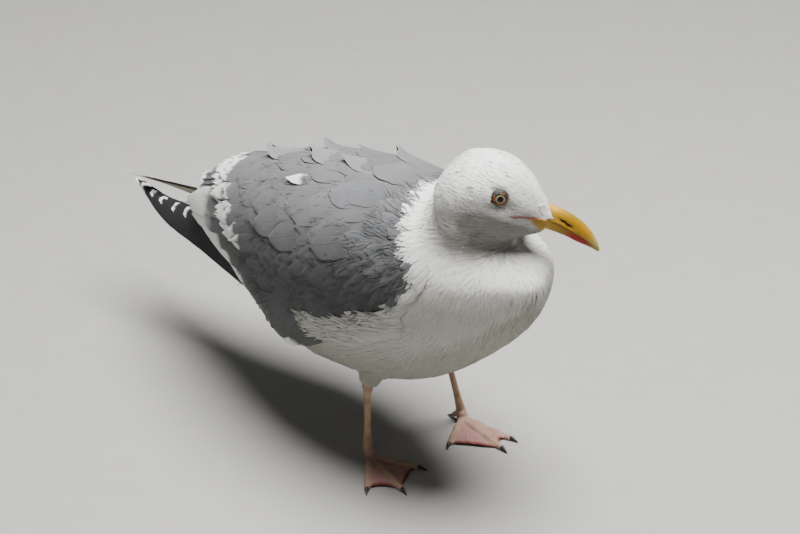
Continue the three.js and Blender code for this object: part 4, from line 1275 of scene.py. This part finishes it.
def lid_ring(side):
    """Swollen rim of the lids: a thick band over the eyeball, drawn out to corners before and behind, its
    colour deepest at the corners and dusky outside."""
    centre, axis, forward, upward = eye_axes(side)
    turn = np.linspace(0, 2 * np.pi, 72, endpoint=False)[:, None]
    bead = np.linspace(0, 2 * np.pi, 14, endpoint=False)[None]
    corner = np.abs(np.cos(turn)) ** 5
    reach = np.where(np.cos(bead) > 0, 2.3, 0.66 + 0.3 * corner)
    from_axis = 4.1 + 0.5 * corner - 0.35 * np.maximum(0, np.sin(turn)) + reach * np.cos(bead)
    from_axis = from_axis + 0.10 * np.sin(turn * 23) * (np.cos(bead) > 0)
    shell = EYE_RADIUS + 0.25 + 0.50 * np.sin(bead)
    rise = np.sqrt(np.maximum(shell ** 2 - from_axis ** 2, 0.1))
    across = forward * (np.cos(turn) * from_axis)[..., None] + upward * (np.sin(turn) * from_axis)[..., None]
    rings = centre + across + axis * rise[..., None]
    points = rings.reshape(-1, 3)
    faces = grid_faces(73, 14)[: 72 * 14] % len(points)
    mottle = 0.5 + 0.5 * np.sin(turn * 11 + 2.5 * np.sin(turn * 4) + 2 * np.sin(bead + turn * 3))
    outer = ease(from_axis + 0.9 * mottle, 4.5, 5.2) * (1 - 0.5 * corner)
    # Darker along the ring's top half: painted shade of the brow over it; the mottles and the dusky outside are the
    # lids' own.
    dark = np.clip(0.85 * outer + 0.8 * ease(mottle, 0.6, 0.85) + 0.45 * ease(np.sin(turn), 0.2, 0.9), 0, 1)
    tint = blend(LID_ORANGE, DUSK * 0.12, dark.ravel())
    tint = blend(tint, DUSK * 0.16, ease(from_axis, 4.9, 5.6).ravel())
    return points, [faces], tint


def face_side(along, up):
    """How far out the skin of the face lies at a place in the side view of the head."""
    centre, half, rise, drop = (curve(along) for curve in head_sizes)
    level = up - centre
    share = np.abs(level) / np.where(level > 0, rise, drop)
    return half * (1 - np.clip(share, 0, 0.98) ** 2.1) ** (1 / 2.1) - 1.6 * (1 - 0.8 * ease(along, 10, 34))


def gape_fold(side):
    """Corner of the mouth: a slim fold from under the eye to the bill, red behind and horn-coloured before."""
    t = np.linspace(0, 1, 60)
    along = 11 + 26 * t
    up = np.interp(along, [9, 13, 24, 38, 42], [1.2, 1.9, 2.7, 2.4, 2.2])
    centre = from_head(along, side * (face_side(along, up) + 0.55), up)
    run = unit(np.gradient(centre, axis=0))
    outer = unit(HEAD_LEFT * side - run * (run @ HEAD_LEFT * side)[:, None])
    across = np.cross(run, outer)
    thick = (0.36 + 0.36 * ease(t, 0.35, 1.0)) * swell(t + 0.02, 0.10) * swell(1.02 - t, 0.2)
    bead = 0.7 * swell(t + 0.02, 0.1) * swell(1.02 - t, 0.2)
    rings = ellipse_rings(centre, across, outer, thick, bead, bead, 14)
    tint = blend(GAPE_RED, HORN_BASE, ease(t, 0.55, 0.95))
    points, faces = outward(*closed(rings))
    return points, faces, np.repeat(tint, 14, 0)


def skin_piece(ground):
    """The one skin: body, legs and feet, lids and gape. Its colours under the coat are the coat's own, with painted
    shade where the wing's end roofs it over.
    """
    body_tint = plumage(ground.points) * 0.95
    dark = np.exp(-(np.minimum(eye_distance(ground.points), 60) / 7.0) ** 6)
    body_tint = blend(body_tint, DUSK * 0.2, 0.9 * dark)
    body = in_body(ground.points)
    # Painted shade on the skin under the wing's end, where the wing tips roof it over.
    roofed = ease(body[:, 1], 176, 190) * ease(body[:, 2], 108, 114)
    body_tint = blend(body_tint, DUSK * 0.25, roofed)
    horn = bill_bare(ground.points).astype(float)
    along, _, up = to_head(ground.points)
    horn_tint = blend(BILL_OLIVE, BILL_PALE, 0.65 + 0.35 * ease(up, -1, 7))
    body_tint = blend(body_tint, horn_tint, horn)
    parts = [(ground.points, [ground.quads], body_tint)]
    for name in SIDES:
        points, quads, tint = leg_skin(name)
        parts.append((points, [quads], tint))
    parts += [lid_ring(side) for side in SIDES.values()]
    parts += [gape_fold(side) for side in SIDES.values()]
    points, faces = joined([part[:2] for part in parts])
    bare = np.concatenate([horn] + [np.ones(len(part[0])) for part in parts[1:]])
    thing = piece("skin", points, faces, np.concatenate([part[2] for part in parts]), values={"bare": bare})
    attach(thing, "root")
    limbs = [f"{part}_{name}" for part in ("thigh", "shank", "foot") for name in SIDES]
    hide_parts("head", "neck", "trunk", "rump", *limbs)
    return thing


# ---------------------------------------------------------------- bill, eyes and claws
BILL_YELLOW = np.array([0.32, 0.165, 0.006])
BILL_PALE = np.array([0.40, 0.23, 0.025])
BILL_OLIVE = np.array([0.18, 0.108, 0.004])
BILL_TIP_CREAM = np.array([0.30, 0.225, 0.065])
SPOT_RED = np.array([0.27, 0.009, 0.0005])


def mandible(upper):
    """Half of the bill: superellipse rings cut off flat along the cutting edge; the upper one carries the
    nostril's slit, and the lower one the angle near its tip."""
    x = np.linspace(BILL_ROOT + 2, BILL_TIP - 0.15, 130)
    culmen, keel, half = (curve(x) for curve in bill_sizes)
    level = 0.55 * keel + 0.45 * culmen
    end = swell(BILL_TIP - x, 2.5)
    turn = np.linspace(0, 2 * np.pi, 64, endpoint=False)
    c, s = np.cos(turn), np.sin(turn)
    out = np.sign(c) * np.abs(c) ** (2 / 2.1) * (half * end)[:, None]
    tall = np.where(s > 0, (culmen - level)[:, None], (level - keel)[:, None]) * end[:, None]
    up = level[:, None] + np.sign(s) * np.abs(s) ** (2 / 2.1) * tall
    cut = cutting_edge(x)[:, None]
    if upper:
        up = np.maximum(up, cut + 0.12 - 0.25 * (np.abs(c) > 0.8))
        slot = np.exp(-((x[:, None] - 50) / 4.7) ** 4 - ((up - 4.3 + 0.25 * (x[:, None] - 50)) / 0.8) ** 4)
        out = out - np.sign(c) * 1.5 * slot * (np.abs(c) > 0.3)
        groove = np.exp(-((up - 3.9 + 0.20 * (x[:, None] - 50)) / 1.5) ** 2) * ease(x, 30, 40)[:, None]
        out = out - np.sign(c) * 0.30 * (groove * (1 - ease(x, 54, 62))[:, None]) * (np.abs(c) > 0.3)
    else:
        up = np.minimum(up, cut - 0.12)
        out = out * 0.93
        slot = np.zeros_like(up)
        keep = (cutting_edge(x) - keel) > 0.9
        x, out, up, cut, slot = x[keep], out[keep], up[keep], cut[keep], slot[keep]
    rings = from_head(x[:, None], out, up)
    points, faces = outward(*closed(rings))
    x = np.broadcast_to(x[:, None], up.shape)
    cloud = ripple(from_head(x, out, up).reshape(-1, 3), 6, 7).reshape(up.shape)
    tint = blend(BILL_PALE, BILL_YELLOW, ease(x + 2 * cloud, 36, 50))
    tint = blend(tint, BILL_OLIVE, 0.75 * ease(x, 40, 52) * (1 - ease(x, 60, 68)) * ease(np.abs(up - 3), -2, 7))
    tint = blend(tint, BILL_TIP_CREAM, ease(x + cloud, 66, 74))
    if not upper:
        spot = np.exp(-((x - 62.5) / 9.4) ** 4 - ((up + 5.2) / 5.6) ** 4)
        tint = blend(tint, SPOT_RED, np.clip(1.1 * spot, 0, 1))
    # The nostril's slit painted near black: painted shade for an opening deeper than the slot that is cut.
    tint = blend(tint, DUSK * 0.1, 0.95 * np.clip(slot * 1.2, 0, 1))
    seam = np.exp(-((up - cutting_edge(x)) / 0.42) ** 2) * (1 - ease(x, 70, 76))
    tint = blend(tint, GAPE_RED * 0.35, 0.8 * seam)
    return points, faces, tint.reshape(-1, 3), np.stack([x, up], -1).reshape(-1, 2) / 10


def bill_piece():
    halves = [mandible(True), mandible(False)]
    points, faces = joined([half[:2] for half in halves])
    place = np.concatenate([half[3] for half in halves])
    thing = piece("bill", points, faces, np.concatenate([half[2] for half in halves]), {"horn": place}, sharp=50)
    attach(thing, "root")
    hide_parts("bill_upper", "bill_lower")
    return thing


def eye_piece():
    """Eyeballs: spheres ringed about their axes, with a small clear bulge; the value "ring" is the distance
    from the axis in mm."""
    parts, rings_out = [], []
    for side in SIDES.values():
        centre, axis, forward, upward = eye_axes(side)
        polar = np.linspace(0.01, 0.99, 56)[:, None] * np.pi
        turn = np.linspace(0, 2 * np.pi, 64, endpoint=False)[None]
        bulge = 0.35 * np.exp(-(np.sin(polar) * EYE_RADIUS / 3.4) ** 4) * (polar < np.pi / 2)
        radius = EYE_RADIUS + bulge
        rings = (centre + forward * (radius * np.sin(polar) * np.cos(turn))[..., None]
                 + upward * (radius * np.sin(polar) * np.sin(turn))[..., None]
                 + axis * (radius * np.cos(polar) + 0 * turn)[..., None])
        parts.append(outward(*closed(rings)))
        far = np.where(np.cos(polar) > 0, np.sin(polar) * EYE_RADIUS, EYE_RADIUS) + 0 * turn
        rings_out.append(far.ravel())
    thing = piece("eyes", *joined(parts), values={"ring": np.concatenate(rings_out)})
    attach(thing, "root")
    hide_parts("eye_left", "eye_right")
    return thing


def claw_form(root, direction, length, thickness):
    """Claw: round rings that taper along a path curving down by the square of the way."""
    t = np.linspace(0.0, 1.0, 26)
    centres = root + direction * (length * t)[:, None] + np.array([0, 0, -0.28 * length]) * (t ** 2)[:, None]
    size = thickness * (1 - 0.8 * t) * swell(t + 0.02, 0.2) * swell(1.01 - t, 0.1)
    across = unit(np.cross(direction, (0, 0, 1.0)))
    up = unit(np.cross(across, np.gradient(centres, axis=0)))
    up = up * np.sign(up[:, 2:3])
    return outward(*closed(ellipse_rings(centres, across[None], up, size, size * 1.15, size * 1.15, 18)))


def claw_piece():
    parts = []
    for name, side in SIDES.items():
        base = on_foot(name, 0, 0, 0)
        for toe, angle in STEPS[name][1].items():
            direction = on_foot(name, angle, 1, 0) - base
            parts.append(claw_form(on_foot(name, angle, TOE_LENGTHS[toe] - 1.5, 2.4), direction, 7.5, 1.7))
        right, ahead = on_foot(name, 90, 1, 0) - base, on_foot(name, 0, 1, 0) - base
        root = base + right * 2.6 - ahead * 11.0 + (0, 0, 1.5)
        parts.append(claw_form(root, unit(right * 0.3 - ahead * 0.95), 4.0, 1.1))
    thing = piece("claws", *joined(parts))
    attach(thing, "root")
    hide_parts(*(f"claw_{toe}_{name}" for toe in ("inner", "middle", "outer", "hind") for name in SIDES))
    return thing


# ---------------------------------------------------------------- finishes
class Wire:
    """A value on a shader socket; the operators + - * / ** add their Math nodes."""

    def __init__(self, finish, socket):
        self.finish, self.socket = finish, socket

    def math(self, operation, *others):
        return self.finish.add("Math", {"operation": operation}, dict(enumerate(others)))

    def __add__(self, other):
        return self.math("ADD", self, other)

    def __sub__(self, other):
        return self.math("SUBTRACT", self, other)

    def __rsub__(self, other):
        return self.math("SUBTRACT", other, self)

    def __mul__(self, other):
        return self.math("MULTIPLY", self, other)

    def __truediv__(self, other):
        return self.math("DIVIDE", self, other)

    def __pow__(self, other):
        return self.math("POWER", self, other)

    __radd__, __rmul__ = __add__, __mul__

    def sine(self):
        return self.math("SINE", self)

    def size(self):
        return self.math("ABSOLUTE", self)

    def step(self, low, high):
        """Smooth step from 0 at `low` to 1 at `high`."""
        return self.finish.add("MapRange", {"interpolation_type": "SMOOTHSTEP"}, {0: self, 1: low, 2: high})


class Finish:
    """One material, its nodes added by type, settings first, then the values or links of its sockets."""

    def __init__(self, name):
        self.material = bpy.data.materials.new(name)
        self.material.use_nodes = True
        self.tree = self.material.node_tree
        self.tree.nodes.clear()

    def add(self, kind, settings=None, sockets=None, out=0):
        node = self.tree.nodes.new("ShaderNode" + kind)
        for label, value in (settings or {}).items():
            setattr(node, label, value)
        for label, value in (sockets or {}).items():
            if isinstance(value, Wire):
                self.tree.links.new(value.socket, node.inputs[label])
            else:
                node.inputs[label].default_value = value
        return Wire(self, node.outputs[out])

    def value(self, name):
        return self.add("Attribute", {"attribute_name": name}, out="Fac")

    def colour(self, name):
        return self.add("Attribute", {"attribute_name": name}, out="Color")

    def place(self):
        return self.add("TexCoord", out="Object")

    def noise(self, vector, scale, detail=3.0):
        return self.add("TexNoise", {}, {"Vector": vector, "Scale": scale, "Detail": detail})

    def map(self, name):
        """The two coordinates of a UV map."""
        uv = self.add("UVMap", {"uv_map": name})
        split = self.add("SeparateXYZ", {}, {0: uv})
        return split, Wire(self, split.socket.node.outputs[1])

    def scaled(self, colour, share):
        return self.add("VectorMath", {"operation": "SCALE"}, {0: colour, "Scale": share})

    def mixed(self, share, first, second):
        return self.add("Mix", {"data_type": "RGBA"}, {0: share, 6: first, 7: second}, out=2)

    def bump(self, height, strength, distance):
        return self.add("Bump", {}, {"Height": height, "Strength": strength, "Distance": distance})

    def close(self, *things, **sockets):
        """The surface shader over its sockets, and the material on the pieces."""
        names = {label.replace("_", " "): value for label, value in sockets.items()}
        shader = self.add("BsdfPrincipled", {}, names)
        output = self.tree.nodes.new("ShaderNodeOutputMaterial")
        self.tree.links.new(shader.socket, output.inputs["Surface"])
        for thing in things:
            thing.data.materials.clear()
            thing.data.materials.append(self.material)


def plumage_finish(name, things, barbs, shaft, roughness, sheen):
    """Feather vanes: barbs slanting off the shaft, as fine ridges and a faint shade, and soft clouding."""
    finish = Finish(name)
    across, along = finish.map("vane")
    off = ((across - 0.5) * 2).size()
    cloud = finish.noise(finish.place(), 140.0)
    ridge = ((along * barbs - off * (barbs * 0.22) + cloud * 3.0) * 6.283).sine()
    stem = 1 - off.step(0.0, 0.10)
    shade = ridge * 0.03 + cloud * 0.16 + 0.90 - stem * shaft
    finish.close(
        *things,
        Base_Color=finish.scaled(finish.colour("tint"), shade),
        Roughness=cloud * 0.2 + roughness,
        Normal=finish.bump(ridge * 0.5 + stem * 1.2, 0.35, 0.0004),
        Sheen_Weight=sheen, Sheen_Roughness=0.5, Specular_IOR_Level=0.25)


def skin_finish(thing):
    """Skin: fine wrinkles and pores over the painted colours, glossier where it is bare."""
    finish = Finish("gull_skin")
    place = finish.place()
    pores = finish.noise(place, 1100.0, 2.0)
    cells = finish.add("TexVoronoi", {"feature": "DISTANCE_TO_EDGE"}, {"Vector": place, "Scale": 620.0})
    blotch = finish.noise(place, 210.0)
    bare = finish.value("bare")
    shade = blotch * 0.3 + cells.step(0.0, 0.18) * 0.16 + 0.70
    finish.close(
        thing,
        Base_Color=finish.scaled(finish.colour("tint"), shade),
        Roughness=0.75 - bare * 0.27 + pores * 0.1,
        Normal=finish.bump(cells.step(0.0, 0.25) + pores * 0.4, 0.4, 0.0003),
        Specular_IOR_Level=0.25)


def horn_finish(thing):
    """Bill: smooth waxy horn with faint growth lines along it and small nicks."""
    finish = Finish("gull_bill")
    along, up = finish.map("horn")
    place = finish.place()
    cloud = finish.noise(place, 260.0)
    fine = finish.noise(place, 1500.0)
    lines = ((along * 2.2 + up * 1.1 + cloud * 0.5) * 6.283).sine()
    finish.close(
        thing,
        Base_Color=finish.scaled(finish.colour("tint"), cloud * 0.22 + lines * 0.02 + 0.89),
        Roughness=cloud * 0.22 + 0.27,
        Normal=finish.bump(lines * 0.4 + fine * 0.6, 0.22, 0.0003),
        Coat_Weight=0.06, Coat_Roughness=0.25, Specular_IOR_Level=0.22)


def eye_finish(thing):
    """Eye: black pupil, pale olive iris with fine rays and a dark rim, under a wet clear coat."""
    finish = Finish("gull_eye")
    ring = finish.value("ring")
    speck = finish.noise(finish.place(), 1800.0)
    iris = finish.mixed(speck, (0.15, 0.15, 0.07, 1), (0.34, 0.34, 0.19, 1))
    rim = (ring + speck * 0.3).step(3.3, 3.9)
    shown = finish.mixed(rim, iris, (0.02, 0.014, 0.01, 1))
    pupil = 1 - (ring + speck * 0.1).step(2.05, 2.3)
    finish.close(
        thing,
        Base_Color=finish.mixed(pupil, shown, (0.004, 0.004, 0.005, 1)),
        Roughness=speck * 0.05 + 0.06,
        Normal=finish.bump(speck, 0.05, 0.0001),
        Coat_Weight=0.12, Coat_Roughness=0.02, Specular_IOR_Level=0.12)


def claw_finish(thing):
    """Claws: near-black horn, scuffed."""
    finish = Finish("gull_claws")
    place = finish.place()
    scuff = finish.noise(place, 900.0)
    finish.close(
        thing,
        Base_Color=finish.mixed(scuff, (0.006, 0.006, 0.007, 1), (0.022, 0.020, 0.018, 1)),
        Roughness=scuff * 0.3 + 0.3,
        Normal=finish.bump(scuff, 0.25, 0.0003))


def floor_finish(thing):
    finish = Finish("pale_floor")
    grain = finish.noise(finish.place(), 40.0)
    finish.close(
        thing,
        Base_Color=finish.mixed(grain, (0.27, 0.266, 0.258, 1), (0.30, 0.296, 0.287, 1)),
        Roughness=grain * 0.1 + 0.75)


# ---------------------------------------------------------------- the scene
def studio():
    """A pale floor, a broad soft light over the back, a weak one from the bill's side, and a pale room."""
    mesh = bpy.data.meshes.new("floor")
    mesh.from_pydata([(-6, -6, 0), (6, -6, 0), (6, 6, 0), (-6, 6, 0)], [], [(0, 1, 2, 3)])
    floor = bpy.data.objects.new("floor", mesh)
    bpy.context.scene.collection.objects.link(floor)
    floor_finish(floor)
    world = bpy.data.worlds.new("room")
    bpy.context.scene.world = world
    world.use_nodes = True
    background = world.node_tree.nodes["Background"]
    background.inputs["Color"].default_value = (0.92, 0.96, 1.0, 1)
    background.inputs["Strength"].default_value = 0.085
    lamps = (
        ("sky", (0.15, -0.35, 2.0), (0, -0.05, 0.15), 1.4, 172.0, (1.0, 0.99, 0.97)),
        ("side", (-1.6, -1.2, 0.9), (0, -0.05, 0.12), 1.2, 3.2, (1.0, 0.96, 0.90)))
    for name, place, target, size, power, colour in lamps:
        lamp = bpy.data.lights.new(name, "AREA")
        lamp.shape = "DISK"
        lamp.size = size
        lamp.energy = power
        lamp.color = colour
        thing = bpy.data.objects.new(name, lamp)
        bpy.context.scene.collection.objects.link(thing)
        aim = (Vector(target) - Vector(place)).to_track_quat("-Z", "Y")
        thing.matrix_world = Matrix.Translation(place) @ aim.to_matrix().to_4x4()


def camera():
    """Two metres off, a quarter to the bird's right of straight ahead of its tail's line, and 26 degrees up."""
    lens = bpy.data.cameras.new("camera")
    lens.sensor_width = 36.0
    lens.lens = 123.075
    lens.clip_end = 50.0
    thing = bpy.data.objects.new("camera", lens)
    bpy.context.scene.collection.objects.link(thing)
    target = Vector(placed(np.array([0.0, 20.0, 137.0])))
    back = Vector((-0.5717, -0.6935, 0.4384)).normalized()
    aim = (-back).to_track_quat("-Z", "Y")
    thing.matrix_world = Matrix.Translation(target + back * 2.0) @ aim.to_matrix().to_4x4()
    bpy.context.scene.camera = thing


ground = Ground(*body_skin())
body_coats = [head_coat(ground), neck_coat(ground), breast_coat(ground), belly_coat(ground)]
grey_coats = [mantle_coat(ground)] + [barb_coat(ground, name) for name in SIDES] + [wing_coat(name) for name in SIDES]
flight_coats = [primaries(name) for name in SIDES]
tail_coat = tail_feathers()
skin = skin_piece(ground)
bpy.data.objects.remove(ground.thing)
plumage_finish("white_plumage", body_coats, 14.0, 0.0, 0.70, 0.15)
plumage_finish("grey_plumage", grey_coats, 46.0, 0.05, 0.66, 0.12)
plumage_finish("black_quills", flight_coats, 90.0, -0.2, 0.42, 0.05)
plumage_finish("white_quills", [tail_coat], 90.0, 0.08, 0.60, 0.10)
skin_finish(skin)
horn_finish(bill_piece())
eye_finish(eye_piece())
claw_finish(claw_piece())
studio()
camera()
